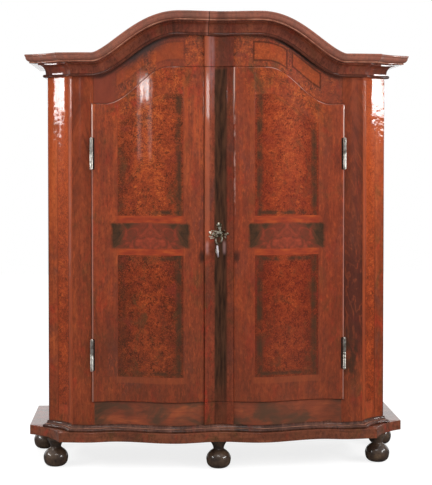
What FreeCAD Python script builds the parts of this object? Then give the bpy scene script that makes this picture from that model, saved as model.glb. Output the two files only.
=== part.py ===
import FreeCAD, Part
import math
import os

V = FreeCAD.Vector

# A two-door baroque cupboard on ball feet.  Millimetres, +Z up, -Y is the front,
# X = 0 runs through the middle of the front, and the floor is at Z = 0.

# ---------------------------------------------------------------- heights
FOOT_HEIGHT = 138.0
PLINTH_THICKNESS = 47.0
BASE_MOULDING_HEIGHT = 31.0
BOTTOM_RAIL_SHOWN = 111.0
DOOR_SIDE_HEIGHT = 1440.0
DOOR_ARCH_RISE = 176.0
FRIEZE_AT_ENDS = 130.0
CORNICE_RISE = 195.0

# ---------------------------------------------------------------- plan
CARCASE_WIDTH = 1662.0
CARCASE_DEPTH = 584.0            # from the back to the front line at the corner mitres
CANT_WIDTH = 125.0
CANT_DEPTH = 108.0
CANT_HOLLOW = 21.0
BASE_MOULDING_PROJECTION = 29.0

# The cornice's profile from its lower edge up, as (projection, height).
CORNICE_BEAD = ((14.0, 0.0), (20.0, 3.0), (22.0, 8.0), (20.0, 13.0), (14.0, 15.0), (9.0, 15.0))
CORNICE_COVE = ((9.0, 20.0), (40.0, 60.0))
CORNICE_STEP = ((44.0, 60.0), (44.0, 66.0), (80.0, 68.0), (80.0, 73.0))
CORNICE_OVOLO = ((80.0, 73.0), (100.0, 95.0))
CORNICE_BAND = ((104.0, 96.0), (104.0, 108.0))
CORNICE_PROJECTION, CORNICE_HEIGHT = CORNICE_BAND[-1]
MITRE_BLEND = 90.0                # length over which the arched cornice turns to its mitre
BASE_BLEND = 40.0
# The serpentine front: (share of the half front, forward swell), joined by half cosines.
SERPENTINE = ((0.0, 30.0), (0.28, 58.0), (0.72, 0.0), (0.89, 12.0), (1.0, 0.0))
STATION_STEP = 24.0              # longest step between points of a long curve

PLINTH_FRONT_OVERHANG = 41.0
PLINTH_SIDE_OVERHANG = 96.0
PLINTH_MITRE_SHIFT = 66.0        # the slab's front mitre lies this far outside the carcase's
PLINTH_CORNER_DEPTH = 180.0
PLINTH_CORNER_HOLLOW = 24.0
PLINTH_BACK_WIDTH = 120.0

# ---------------------------------------------------------------- arches
CORNICE_SPRING = 600.0           # distance from the middle at which the arch leaves the level
CORNICE_CROWN = 195.0            # and at which it is level again
DOOR_SPRING = 550.0
DOOR_CROWN = 235.0

# ---------------------------------------------------------------- boards
FRAME_THICKNESS = 30.0
STILE_WIDTH = 92.0
SIDE_THICKNESS = 22.0
POST_RETURN = 30.0
BACK_THICKNESS = 14.0
BACK_BOARD_COUNT = 6
FLOOR_THICKNESS = 24.0
NOSING_WIDTH = 12.0
ROOF_SEAT = 80.0                 # roof boards lie this far above the cornice's lower edge
ROOF_THICKNESS = 14.0
ROOF_BOARD_COUNT = 12
SHELF_THICKNESS = 22.0
SHELF_SPACING = 410.0
SHELF_COUNT = 3
SHELF_SETBACK = 45.0
BATTEN = 24.0
BEARER_WIDTH = 44.0
BEARER_SPREAD = 640.0            # from the middle bearer to each outer one

# ---------------------------------------------------------------- doors
DOOR_THICKNESS = 30.0
DOOR_PROUD = 8.0
DOOR_GAP = 2.0
HINGE_STILE_WIDTH = 125.0
LOCK_STILE_WIDTH = 101.0
TOP_RAIL_AT_LOCK = 132.0         # depth of the top rail below the arch at its two ends
TOP_RAIL_AT_HINGE = 109.0
MID_RAIL_HEIGHT = 190.0
MID_RAIL_FOOT = 711.0            # from the door's lower edge to its middle rail
BOTTOM_RAIL_WIDTH = 122.0
PANEL_THICKNESS = 18.0

STRIP_WIDTH = 140.0
STRIP_PROUD = 14.0
STRIP_FILLET = 9.0
STRIP_HOLLOW = 10.0

# ---------------------------------------------------------------- hinges
BARREL_RADIUS = 8.0
BARREL_LENGTH = 72.0             # one knuckle; a hinge has two
BARREL_GAP = 0.4
BARREL_STANDOFF = 0.5            # from the door's face to the barrel
PIN_RADIUS = 4.0
PIN_CLEARANCE = 0.08
FINIAL_RADIUS = 6.5
LEAF_THICKNESS = 3.0
LEAF_OFFSET = 3.0                # leaves start this far from the hinge line
LEAF_HEIGHT = 56.0
LEAF_DEPTH = 16.0
LOWER_HINGE = 228.0              # hinge middles above the door's lower edge
UPPER_HINGE = 1200.0

# ---------------------------------------------------------------- feet
BALL_RADIUS = 60.0
BALL_HEIGHT = 94.0
FOOT_PAD_RADIUS = 22.0
NECK_RADIUS = 24.0
NECK_TOP_RADIUS = 41.0
NECK_COLLAR = 8.0
FRONT_FOOT_INSET = 133.0
FRONT_FOOT_SETBACK = 109.0       # behind the slab's front line at its mitres
CENTRE_FOOT_SETBACK = 62.0       # behind the slab's front edge in the middle
BACK_FOOT_INSET = 52.0
BACK_FOOT_SETBACK = 160.0

# ---------------------------------------------------------------- lock and bolts
LOCK_HEIGHT = 732.0              # keyhole above the door's lower edge
KEY_X = -8.0                     # keyhole beside the middle of the strip
LOCK_CASE_WIDTH = 116.0
LOCK_CASE_HEIGHT = 110.0
LOCK_CASE_DEPTH = 24.0
LOCK_CASE_WALL = 2.5
LOCK_CASE_OVERHANG = 4.0         # case side inside the strip's left side
KEY_RADIUS = 4.0
KEYHOLE_RADIUS = 5.5
KEY_REACH = 18.0                 # shank in front of the escutcheon
BOW_HEIGHT = 60.0
BOW_LENGTH = 38.0
BOW_THICKNESS = 8.0
BOW_RING = 9.0
BIT_LENGTH = 14.0
BIT_THICKNESS = 3.0
BIT_DEPTH = 8.0
KEY_TILT = 5.0                   # degrees that the key hangs off the vertical
BOLT_HEIGHT = 14.0
BOLT_THICKNESS = 10.0
BOLT_LENGTH = 80.0
BOLT_ABOVE_KEY = 24.0
BOLT_THROW = 18.0
KEEPER_WIDTH = 32.0
KEEPER_HEIGHT = 40.0
KEEPER_GAP = 4.0                 # from the left door's inner edge to the keeper
SLIDE_OFFSET = 55.0              # slide bolts from the left door's inner edge
SLIDE_WIDTH = 12.0
SLIDE_THICKNESS = 8.0
SLIDE_LENGTH = 300.0
SLIDE_THROW = 40.0
SLIDE_CLEARANCE = 9.0            # behind the frieze's back
SLIDE_REST_GAP = 6.0             # bolt ends from the door's ends at rest
GUIDE_WIDTH = 28.0
GUIDE_HEIGHT = 26.0
GUIDE_WALL = 5.0
KNOB_RADIUS = 7.0
KNOB_LENGTH = 16.0
ESCUTCHEON_THICKNESS = 3.0

# The escutcheon's outline as overlapping discs: (x, height above the key, radius).
ESCUTCHEON_DISCS = (
    (0.0, 127.0, 10.0), (1.0, 113.0, 8.0), (1.0, 102.0, 7.0),
    (2.0, 86.0, 16.0),
    (-18.0, 84.0, 11.0), (-30.0, 80.0, 10.0), (-41.0, 72.0, 9.0), (-44.0, 88.0, 8.0),
    (20.0, 84.0, 11.0), (30.0, 76.0, 9.0), (39.0, 82.0, 8.0),
    (-12.0, 66.0, 9.0), (13.0, 66.0, 9.0), (-15.0, 52.0, 7.0), (15.0, 52.0, 7.0),
    (-11.0, 40.0, 7.0), (10.0, 40.0, 7.0), (-3.0, 31.0, 9.0),
    (-8.0, 18.0, 11.0), (KEY_X, 0.0, 16.0), (KEY_X, -16.0, 8.0),
)
ESCUTCHEON_HOLES = ((-29.0, 84.0, 4.0), (24.0, 79.0, 4.0), (0.0, 57.0, 7.0), (0.0, 49.0, 7.0))

SEAT = 0.3                       # clearance between curved faces that meet
SLIP = 0.4                       # clearance around a sliding bolt

# ---------------------------------------------------------------- derived places
PLINTH_TOP = FOOT_HEIGHT + PLINTH_THICKNESS
MOULDING_TOP = PLINTH_TOP + BASE_MOULDING_HEIGHT
DOOR_BOTTOM = MOULDING_TOP + BOTTOM_RAIL_SHOWN
DOOR_SIDE_TOP = DOOR_BOTTOM + DOOR_SIDE_HEIGHT
CORNICE_BOTTOM = DOOR_SIDE_TOP + FRIEZE_AT_ENDS
CARCASE_TOP = CORNICE_BOTTOM + ROOF_SEAT
FLOOR_TOP = DOOR_BOTTOM - DOOR_GAP

HALF_WIDTH = CARCASE_WIDTH / 2
HALF_FRONT = HALF_WIDTH - CANT_WIDTH
BULGE = max(swell for _, swell in SERPENTINE)
BACK_Y = (CARCASE_DEPTH + CORNICE_PROJECTION + BULGE) / 2
MITRE_Y = BACK_Y - CARCASE_DEPTH
CANT_BACK_Y = MITRE_Y + CANT_DEPTH
OPENING_EDGE = HALF_FRONT - STILE_WIDTH
DOOR_EDGE = OPENING_EDGE - DOOR_GAP
STRIP_EDGE = STRIP_WIDTH / 2
INTERIOR_HALF = HALF_WIDTH - SIDE_THICKNESS
INTERIOR_BACK = BACK_Y - BACK_THICKNESS
DOOR_BACK = DOOR_THICKNESS - DOOR_PROUD
PLINTH_HALF = HALF_WIDTH + PLINTH_SIDE_OVERHANG
PLINTH_MITRE = HALF_FRONT + PLINTH_MITRE_SHIFT
PLINTH_Y = MITRE_Y - PLINTH_FRONT_OVERHANG
PLINTH_CORNER_Y = PLINTH_Y + PLINTH_CORNER_DEPTH
KEY_Z = DOOR_BOTTOM + LOCK_HEIGHT
SIDES = (("left", -1), ("right", 1))


# ---------------------------------------------------------------- curves
def ease(t):
    """Half a cosine from 0 to 1, level at both ends."""
    return (1 - math.cos(math.pi * min(max(t, 0.0), 1.0))) / 2


def swell(x, mitre_x=HALF_FRONT):
    """How far the serpentine front stands forward of the mitre line at x."""
    nodes = [(share * HALF_FRONT, forward) for share, forward in SERPENTINE[:-1]]
    nodes.append((mitre_x, SERPENTINE[-1][1]))
    distance = min(abs(x), mitre_x)
    for (x0, s0), (x1, s1) in zip(nodes, nodes[1:]):
        if distance <= x1:
            return s0 + (s1 - s0) * ease((distance - x0) / (x1 - x0))
    return nodes[-1][1]


def front_y(x, behind=0.0):
    """Y of the carcase front at x, or of a surface that lies behind it."""
    return MITRE_Y - swell(x) + behind


def cornice_arch(x):
    """Height of the cornice's lower edge at x."""
    return CORNICE_BOTTOM + CORNICE_RISE * ease((CORNICE_SPRING - abs(x)) / (CORNICE_SPRING - CORNICE_CROWN))


def door_arch(x):
    """Height of the doors' upper edge at x."""
    return DOOR_SIDE_TOP + DOOR_ARCH_RISE * ease((DOOR_SPRING - abs(x)) / (DOOR_SPRING - DOOR_CROWN))


def roof_line(x):
    """Height at which the boards that carry the roof end at x."""
    return cornice_arch(x) + ROOF_SEAT


def strip_proud(x):
    """How far the hollow middle strip stands in front of the carcase front at x."""
    inner = STRIP_EDGE - STRIP_FILLET
    if abs(x) >= inner:
        return STRIP_PROUD
    return STRIP_PROUD - STRIP_HOLLOW * (1 - (x / inner) ** 2)


def stations(x0, x1, step=STATION_STEP):
    """Evenly spaced places from x0 to x1."""
    count = max(3, math.ceil(abs(x1 - x0) / step))
    return [x0 + (x1 - x0) * i / count for i in range(count + 1)]


def smooth_edge(points):
    """One edge through the points: a line if they are in line, or else a spline."""
    chord = points[-1] - points[0]
    off = max(((p - points[0]).cross(chord)).Length for p in points) / chord.Length
    if off < 1e-6:
        return Part.makeLine(points[0], points[-1])
    curve = Part.BSplineCurve()
    curve.interpolate(points)
    return curve.toShape()


def polygon_face(points):
    return Part.Face(Part.makePolygon(points + points[:1]))


def box(x0, x1, y0, y1, z0, z1):
    """A box between two values on each axis, in either order."""
    low = V(min(x0, x1), min(y0, y1), min(z0, z1))
    return Part.makeBox(abs(x1 - x0), abs(y1 - y0), abs(z1 - z0), low)


def staple(outer, hole, axis):
    """Four boxes that close round a hole through a block.

    outer and hole are (low, high) pairs on X, Y and Z, and axis is the hole's direction.
    """
    across, up = [i for i in range(3) if i != axis]
    sides = []
    for moved, full in ((across, up), (up, across)):
        for low, high in ((outer[moved][0], hole[moved][0]), (hole[moved][1], outer[moved][1])):
            limits = [None, None, None]
            limits[axis] = outer[axis]
            limits[moved] = (low, high)
            limits[full] = outer[full] if moved == across else hole[full]
            sides.append(box(*limits[0], *limits[1], *limits[2]))
    return sides


def mirrored(shape):
    """The same piece on the other side of the middle."""
    return shape.mirror(V(0, 0, 0), V(1, 0, 0))


def on_side(shape, side):
    """A piece made for the right, placed on the side asked for."""
    return shape if side > 0 else mirrored(shape)


def fused(first, *others):
    return first.multiFuse(list(others)).removeSplitter()


# ---------------------------------------------------------------- board makers
def front_prism(x0, x1, z0, z1, near, far):
    """A board that follows the front from x0 to x1.

    near is a depth behind the carcase front, or a function of x; far is the same for the
    back, or a pair ("y", value) for a straight back.
    """
    def depth(value, x):
        return value(x) if callable(value) else value

    xs = stations(x0, x1)
    front = [V(x, front_y(x, depth(near, x)), z0) for x in xs]
    if isinstance(far, tuple):
        rear = [V(x0, far[1], z0), V(x1, far[1], z0)]
    else:
        rear = [V(x, front_y(x, depth(far, x)), z0) for x in xs]
    edges = [
        smooth_edge(front),
        Part.makeLine(front[-1], rear[-1]),
        smooth_edge(rear),
        Part.makeLine(rear[0], front[0]),
    ]
    face = Part.Face(Part.Wire(Part.__sortEdges__(edges)))
    return face.extrude(V(0, 0, z1 - z0))


def between(x0, x1, low, high):
    """Everything from x0 to x1 between two heights, each a number or a function of x."""
    reach = 2 * BACK_Y

    def edge(height):
        if callable(height):
            return smooth_edge([V(x, -reach, height(x)) for x in stations(x0, x1)])
        return Part.makeLine(V(x0, -reach, height), V(x1, -reach, height))

    lower, upper = edge(low), edge(high)
    ends = []
    for x in (x0, x1):
        bottom = low(x) if callable(low) else low
        top = high(x) if callable(high) else high
        ends.append(Part.makeLine(V(x, -reach, bottom), V(x, -reach, top)))
    wire = Part.Wire(Part.__sortEdges__([lower, ends[1], upper, ends[0]]))
    return Part.Face(wire).extrude(V(0, 2 * reach, 0))


def arched(x0, x1, low, high, near, far):
    """A front board cut to lie between two heights that may change with x."""
    top = CORNICE_BOTTOM + CORNICE_RISE + CORNICE_HEIGHT
    return front_prism(x0, x1, 0.0, top, near, far).common(between(x0, x1, low, high))


# ---------------------------------------------------------------- hollow corners
def corner_arc(start, end, hollow):
    """A hollow arc in plan from start to end."""
    chord = end - start
    inward = V(-chord.y, chord.x, 0).normalize()
    middle = (start + end) * 0.5 + inward * hollow
    return Part.Arc(start, middle, end)


def carcase_corner():
    return corner_arc(V(HALF_FRONT, MITRE_Y, 0), V(HALF_WIDTH, CANT_BACK_Y, 0), CANT_HOLLOW)


def mitre_vectors():
    """Outward vectors of a moulding at the two mitres of the hollow corner."""
    centre = carcase_corner().toShape().Curve.Center
    found = []
    for place, neighbour in (
        (V(HALF_FRONT, MITRE_Y, 0), V(0, -1, 0)),
        (V(HALF_WIDTH, CANT_BACK_Y, 0), V(1, 0, 0)),
    ):
        normal = (centre - place).normalize()
        found.append((normal + neighbour) * (1 / (1 + normal.dot(neighbour))))
    return found


FRONT_MITRE, BACK_MITRE = mitre_vectors()


# ---------------------------------------------------------------- mouldings
def quarter(p0, h0, p1, h1, hollow, steps=5):
    """Points of a quarter round or hollow from (p0, h0) to (p1, h1), first point left out."""
    found = []
    for i in range(1, steps + 1):
        angle = math.pi / 2 * i / steps
        if hollow:
            along, up = 1 - math.cos(angle), math.sin(angle)
        else:
            along, up = math.sin(angle), 1 - math.cos(angle)
        found.append((p0 + (p1 - p0) * along, h0 + (h1 - h0) * up))
    return found


def cornice_profile():
    """(projection, height) points of the cornice, from its lower back corner round."""
    outline = [(SEAT, 0.0), *CORNICE_BEAD, CORNICE_COVE[0]]
    outline += quarter(*CORNICE_COVE[0], *CORNICE_COVE[1], hollow=True)
    outline += CORNICE_STEP
    outline += quarter(*CORNICE_OVOLO[0], *CORNICE_OVOLO[1], hollow=False)
    return outline + [*CORNICE_BAND, (SEAT, CORNICE_HEIGHT)]


def base_profile():
    """(projection, height) points of the base moulding: a torus under a cavetto."""
    width, height = BASE_MOULDING_PROJECTION, BASE_MOULDING_HEIGHT
    torus = 0.45 * height
    outline = [(SEAT, 0.0), (0.88 * width, 0.0)]
    outline += [(0.97 * width, 0.2 * torus), (width, 0.5 * torus), (0.97 * width, 0.8 * torus)]
    outline += [(0.84 * width, torus), (0.70 * width, torus + 2.0)]
    cove = quarter(0.70 * width, torus + 2.0, 0.24 * width, height - 3.0, hollow=False, steps=4)
    outline += cove + [(0.24 * width, height), (SEAT, height)]
    return outline


def rails_to_solid(rails):
    """A solid whose long edges are the rails and whose ends are flat."""
    edges = [smooth_edge(points) for points in rails]
    faces = [Part.makeRuledSurface(a, b) for a, b in zip(edges, edges[1:] + edges[:1])]
    for end in (0, -1):
        faces.append(polygon_face([points[end] for points in rails]))
    shell = Part.Shell(faces)
    shell.sewShape()
    solid = Part.Solid(shell)
    if solid.Volume < 0:
        solid.reverse()
    return solid


def front_moulding(profile, base, blend):
    """The right half of a moulding on the front, from the middle to the corner mitre.

    base(x) is the height of its lower edge. The profile stands square to that edge, and
    over the last blend millimetres it turns towards the mitre.
    """
    tiny = 0.5
    rails = []
    for projection, height in profile:
        points = []
        for x in stations(0.0, HALF_FRONT):
            slope = (base(x + tiny) - base(max(x - tiny, -x))) / (2 * tiny) if x else 0.0
            length = math.hypot(1.0, slope)
            along = x - height * slope / length
            turn = max(0.0, (x - HALF_FRONT + blend) / blend)
            points.append(
                V(
                    along + projection * FRONT_MITRE.x * turn,
                    front_y(along) - projection,
                    base(x) + height / length,
                )
            )
        rails.append(points)
    return rails_to_solid(rails)


def corner_moulding(profile, base_z):
    """A moulding on the right hollow corner, mitred at both ends."""
    bases = carcase_corner().toShape().discretize(9)
    rails = []
    for projection, height in profile:
        points = []
        for i, place in enumerate(bases):
            share = i / (len(bases) - 1)
            outward = FRONT_MITRE * (1 - share) + BACK_MITRE * share
            points.append(place + outward * projection + V(0, 0, base_z + height))
        rails.append(points)
    return rails_to_solid(rails)


def side_moulding(profile, base_z):
    """A moulding along the right side, from the mitre to the back."""
    rails = []
    for projection, height in profile:
        start = V(HALF_WIDTH, CANT_BACK_Y, base_z + height) + BACK_MITRE * projection
        rails.append([start, V(start.x, BACK_Y, start.z)])
    return rails_to_solid(rails)


def mitred_front(profile, base, blend):
    """The two halves of a front moulding."""
    half = front_moulding(profile, base, blend)
    return [mirrored(half), half]


# ---------------------------------------------------------------- carcase
def foot(x, y):
    """A turned ball foot with a trumpet neck."""
    neck_base = BALL_HEIGHT
    collar = FOOT_HEIGHT - NECK_COLLAR
    flare_middle = V(NECK_RADIUS + 0.25 * (NECK_TOP_RADIUS - NECK_RADIUS), 0, neck_base + 0.6 * (collar - neck_base))
    edges = [
        Part.makeLine(V(0, 0, 0), V(FOOT_PAD_RADIUS, 0, 0)),
        Part.Arc(
            V(FOOT_PAD_RADIUS, 0, 0),
            V(BALL_RADIUS, 0, BALL_HEIGHT / 2),
            V(NECK_RADIUS, 0, neck_base),
        ).toShape(),
        Part.Arc(V(NECK_RADIUS, 0, neck_base), flare_middle, V(NECK_TOP_RADIUS, 0, collar)).toShape(),
        Part.makeLine(V(NECK_TOP_RADIUS, 0, collar), V(NECK_TOP_RADIUS, 0, FOOT_HEIGHT)),
        Part.makeLine(V(NECK_TOP_RADIUS, 0, FOOT_HEIGHT), V(0, 0, FOOT_HEIGHT)),
        Part.makeLine(V(0, 0, FOOT_HEIGHT), V(0, 0, 0)),
    ]
    solid = Part.Face(Part.Wire(edges)).revolve(V(0, 0, 0), V(0, 0, 1), 360)
    solid.translate(V(x, y, 0))
    return solid


def feet():
    front = PLINTH_Y + FRONT_FOOT_SETBACK
    back_x = PLINTH_HALF - BACK_FOOT_INSET
    back_y = BACK_Y - BACK_FOOT_SETBACK
    centre_y = PLINTH_Y - swell(0) + CENTRE_FOOT_SETBACK
    parts = {"foot_front_centre": foot(0.0, centre_y)}
    for name, side in SIDES:
        parts[f"foot_front_{name}"] = foot(side * (PLINTH_HALF - FRONT_FOOT_INSET), front)
        parts[f"foot_back_{name}"] = foot(side * back_x, back_y)
    return parts


def plinth():
    """The slab that the carcase stands on: a frame of boards with hollow corners."""
    z0, z1 = FOOT_HEIGHT, PLINTH_TOP
    xs = stations(-PLINTH_MITRE, PLINTH_MITRE)
    front = [V(x, PLINTH_Y - swell(x, PLINTH_MITRE), z0) for x in xs]
    back_left = V(-PLINTH_MITRE, PLINTH_CORNER_Y, z0)
    back_right = V(PLINTH_MITRE, PLINTH_CORNER_Y, z0)
    edges = [
        smooth_edge(front),
        Part.makeLine(front[-1], back_right),
        Part.makeLine(back_right, back_left),
        Part.makeLine(back_left, front[0]),
    ]
    rise = V(0, 0, z1 - z0)
    parts = {"plinth_front": Part.Face(Part.Wire(edges)).extrude(rise)}
    start = V(PLINTH_MITRE, PLINTH_Y, z0)
    end = V(PLINTH_HALF, PLINTH_CORNER_Y, z0)
    corner = Part.Wire(
        [
            corner_arc(start, end, PLINTH_CORNER_HOLLOW).toShape(),
            Part.makeLine(end, back_right),
            Part.makeLine(back_right, start),
        ]
    )
    corner_block = Part.Face(corner).extrude(rise)
    side_block = box(PLINTH_MITRE, PLINTH_HALF, PLINTH_CORNER_Y, BACK_Y, z0, z1)
    for name, side in SIDES:
        parts[f"plinth_corner_{name}"] = on_side(corner_block, side)
        parts[f"plinth_side_{name}"] = on_side(side_block, side)
    parts["plinth_back"] = box(-PLINTH_MITRE, PLINTH_MITRE, BACK_Y - PLINTH_BACK_WIDTH, BACK_Y, z0, z1)
    return parts


def base_moulding():
    """Front and corner lengths; they end at the sides with a cut face."""
    profile = base_profile()
    corner = corner_moulding(profile, PLINTH_TOP)
    halves = mitred_front(profile, lambda x: PLINTH_TOP, BASE_BLEND)
    return {"base_moulding": Part.makeCompound([mirrored(corner)] + halves + [corner])}


def carcase_end_face(corners):
    """A plan face at the right end: the hollow corner, then straight lines through the corners."""
    arc = carcase_corner()
    places = [V(HALF_WIDTH, CANT_BACK_Y, 0)] + corners + [V(HALF_FRONT, MITRE_Y, 0)]
    lines = [Part.makeLine(a, b) for a, b in zip(places, places[1:])]
    return Part.Face(Part.Wire([arc.toShape()] + lines))


def corner_posts():
    """Hollow-faced posts between the front frame and the sides."""
    inner_front = V(HALF_FRONT, MITRE_Y + FRAME_THICKNESS, 0)
    side_front = V(HALF_WIDTH, CANT_BACK_Y + POST_RETURN, 0)
    inner_back = V(INTERIOR_HALF, CANT_BACK_Y + POST_RETURN, 0)
    post = carcase_end_face([side_front, inner_back, inner_front]).extrude(V(0, 0, CARCASE_TOP - PLINTH_TOP))
    post.translate(V(0, 0, PLINTH_TOP))
    return {f"corner_post_{name}": on_side(post, side) for name, side in SIDES}


def hinge_heights():
    return [DOOR_BOTTOM + LOWER_HINGE, DOOR_BOTTOM + UPPER_HINGE]


def hinge_axis():
    """(x, y) of the right door's hinge line."""
    x = (DOOR_EDGE + OPENING_EDGE) / 2
    face = min(front_y(DOOR_EDGE), front_y(OPENING_EDGE)) - DOOR_PROUD
    return x, face - BARREL_STANDOFF - BARREL_RADIUS


def leaf(x_near, into, z0, z1, spare=0.0):
    """A hinge leaf in the right side's frame or door, or its mortise with spare clearance."""
    x, y = hinge_axis()
    start = x + x_near
    end = start + math.copysign(LEAF_THICKNESS, x_near)
    low, high = min(start, end) - spare, max(start, end) + spare
    return box(low, high, y, into + spare, z0 - spare, z1 + spare)


def frame_leaf(middle, spare=0.0):
    z1 = middle - (BARREL_LENGTH - LEAF_HEIGHT) / 2
    return leaf(LEAF_OFFSET, front_y(OPENING_EDGE) + LEAF_DEPTH, z1 - LEAF_HEIGHT, z1, spare)


def door_leaf(middle, spare=0.0):
    z0 = middle + (BARREL_LENGTH - LEAF_HEIGHT) / 2
    return leaf(-LEAF_OFFSET, front_y(DOOR_EDGE) - DOOR_PROUD + LEAF_DEPTH, z0, z0 + LEAF_HEIGHT, spare)


def carcase_frame():
    """Stiles, sides, bottom rail, frieze, floor, shelves, back and roof."""
    parts = {}
    stile = front_prism(OPENING_EDGE, HALF_FRONT, PLINTH_TOP, CARCASE_TOP, 0.0, FRAME_THICKNESS)
    for middle in hinge_heights():
        stile = stile.cut(frame_leaf(middle, spare=0.1))
    side_panel = box(
        INTERIOR_HALF, HALF_WIDTH, CANT_BACK_Y + POST_RETURN, BACK_Y, PLINTH_TOP, CARCASE_TOP
    )
    for name, side in SIDES:
        parts[f"front_stile_{name}"] = on_side(stile, side)
        parts[f"side_panel_{name}"] = on_side(side_panel, side)
    parts["bottom_rail"] = front_prism(
        -OPENING_EDGE, OPENING_EDGE, PLINTH_TOP, DOOR_BOTTOM - DOOR_GAP, 0.0, FRAME_THICKNESS
    )
    parts["frieze"] = arched(
        -OPENING_EDGE, OPENING_EDGE, lambda x: door_arch(x) + DOOR_GAP, roof_line, 0.0, FRAME_THICKNESS
    )
    parts["back_boards"] = back_boards()
    parts["roof_boards"] = roof_boards()
    parts["floor_board"] = floor_board()
    parts.update(shelving())
    return parts


def back_boards():
    boards = []
    width = 2 * INTERIOR_HALF / BACK_BOARD_COUNT
    for i in range(BACK_BOARD_COUNT):
        x0 = -INTERIOR_HALF + i * width
        board = box(x0, x0 + width, INTERIOR_BACK, BACK_Y, 0.0, 2 * CARCASE_TOP)
        boards.append(board.common(between(x0, x0 + width, PLINTH_TOP, roof_line)))
    return Part.makeCompound(boards)


def roof_boards():
    """Boards laid front to back over the arch, and one over each end of the carcase."""
    boards = []
    width = 2 * HALF_FRONT / ROOF_BOARD_COUNT
    edge = SEAT + 2.0
    for i in range(ROOF_BOARD_COUNT):
        x0 = -HALF_FRONT + i * width
        boards.append(
            arched(
                x0,
                x0 + width,
                lambda x: roof_line(x) + SEAT,
                lambda x: roof_line(x) + SEAT + ROOF_THICKNESS,
                edge,
                ("y", BACK_Y),
            )
        )
    end = carcase_end_face([V(HALF_WIDTH, BACK_Y, 0), V(HALF_FRONT, BACK_Y, 0)])
    end = end.extrude(V(0, 0, ROOF_THICKNESS))
    end.translate(V(0, 0, CARCASE_TOP + SEAT))
    return Part.makeCompound(boards + [mirrored(end), end])


def interior_outline(setback, z):
    """Corner points of a board inside the carcase, behind the hollow posts."""
    front = MITRE_Y + setback
    corner = CANT_BACK_Y + POST_RETURN + setback - FRAME_THICKNESS
    right = [
        V(HALF_FRONT, front, z),
        V(INTERIOR_HALF, corner, z),
        V(INTERIOR_HALF, INTERIOR_BACK, z),
    ]
    return right, [V(-p.x, p.y, z) for p in reversed(right)]


def slide_hole():
    """(low, high) on X and Y of the hole that a slide bolt runs in."""
    x, y = slide_axis()
    width = SLIDE_WIDTH / 2 + SLIP
    depth = SLIDE_THICKNESS / 2 + SLIP
    return (x - width, x + width), (y - depth, y + depth)


def floor_board():
    """A wide board with a nosing that follows the front; the lower bolt drops between its two lengths."""
    setback = FRAME_THICKNESS + SEAT
    z = FLOOR_TOP - FLOOR_THICKNESS
    right, left = interior_outline(setback, z)
    joint = MITRE_Y + setback + NOSING_WIDTH
    slope = (right[1].x - right[0].x) / (right[1].y - right[0].y)
    right[0] = V(right[0].x + slope * NOSING_WIDTH, joint, z)
    left[-1] = V(-right[0].x, joint, z)
    boards = [polygon_face(right + left).extrude(V(0, 0, FLOOR_THICKNESS))]
    gap = slide_hole()[0]
    for x0, x1 in ((-HALF_FRONT, gap[0]), (gap[1], HALF_FRONT)):
        boards.append(front_prism(x0, x1, z, FLOOR_TOP, setback, ("y", joint)))
    return Part.makeCompound(boards)


def shelving():
    """Shelves on side battens, and the bearers that carry the floor."""
    shelves, battens = [], []
    for i in range(SHELF_COUNT):
        top = FLOOR_TOP + (i + 1) * SHELF_SPACING
        right, left = interior_outline(SHELF_SETBACK, top - SHELF_THICKNESS)
        shelves.append(polygon_face(right + left).extrude(V(0, 0, SHELF_THICKNESS)))
        batten = box(
            INTERIOR_HALF - BATTEN,
            INTERIOR_HALF,
            right[1].y + BATTEN,
            INTERIOR_BACK,
            top - SHELF_THICKNESS - BATTEN,
            top - SHELF_THICKNESS,
        )
        battens += [mirrored(batten), batten]
    bearers = []
    for x in (-BEARER_SPREAD, 0.0, BEARER_SPREAD):
        bearers.append(
            box(
                x - BEARER_WIDTH / 2,
                x + BEARER_WIDTH / 2,
                MITRE_Y + FRAME_THICKNESS + SEAT,
                INTERIOR_BACK,
                PLINTH_TOP,
                FLOOR_TOP - FLOOR_THICKNESS,
            )
        )
    return {
        "shelves": Part.makeCompound(shelves),
        "shelf_battens": Part.makeCompound(battens),
        "floor_bearers": Part.makeCompound(bearers),
    }


def fixed_strips():
    """The parts of the hollow middle strip that stay on the frieze and the bottom rail."""
    near, far = (lambda x: -strip_proud(x)), -SEAT
    upper = arched(
        -STRIP_EDGE, STRIP_EDGE, lambda x: door_arch(x) + DOOR_GAP, lambda x: cornice_arch(x) - SEAT, near, far
    )
    lower = front_prism(-STRIP_EDGE, STRIP_EDGE, MOULDING_TOP + SEAT, DOOR_BOTTOM - DOOR_GAP, near, far)
    return {"fixed_strips": Part.makeCompound([upper, lower])}


def cornice():
    profile = cornice_profile()
    parts = {"cornice_front": Part.makeCompound(mitred_front(profile, cornice_arch, MITRE_BLEND))}
    corner = corner_moulding(profile, CORNICE_BOTTOM)
    side_length = side_moulding(profile, CORNICE_BOTTOM)
    for name, side in SIDES:
        parts[f"cornice_corner_{name}"] = on_side(corner, side)
        parts[f"cornice_side_{name}"] = on_side(side_length, side)
    return parts


# ---------------------------------------------------------------- doors
def door_piece(x0, x1, low, high, thickness=DOOR_THICKNESS):
    return arched(x0, x1, low, high, -DOOR_PROUD, thickness - DOOR_PROUD)


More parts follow.
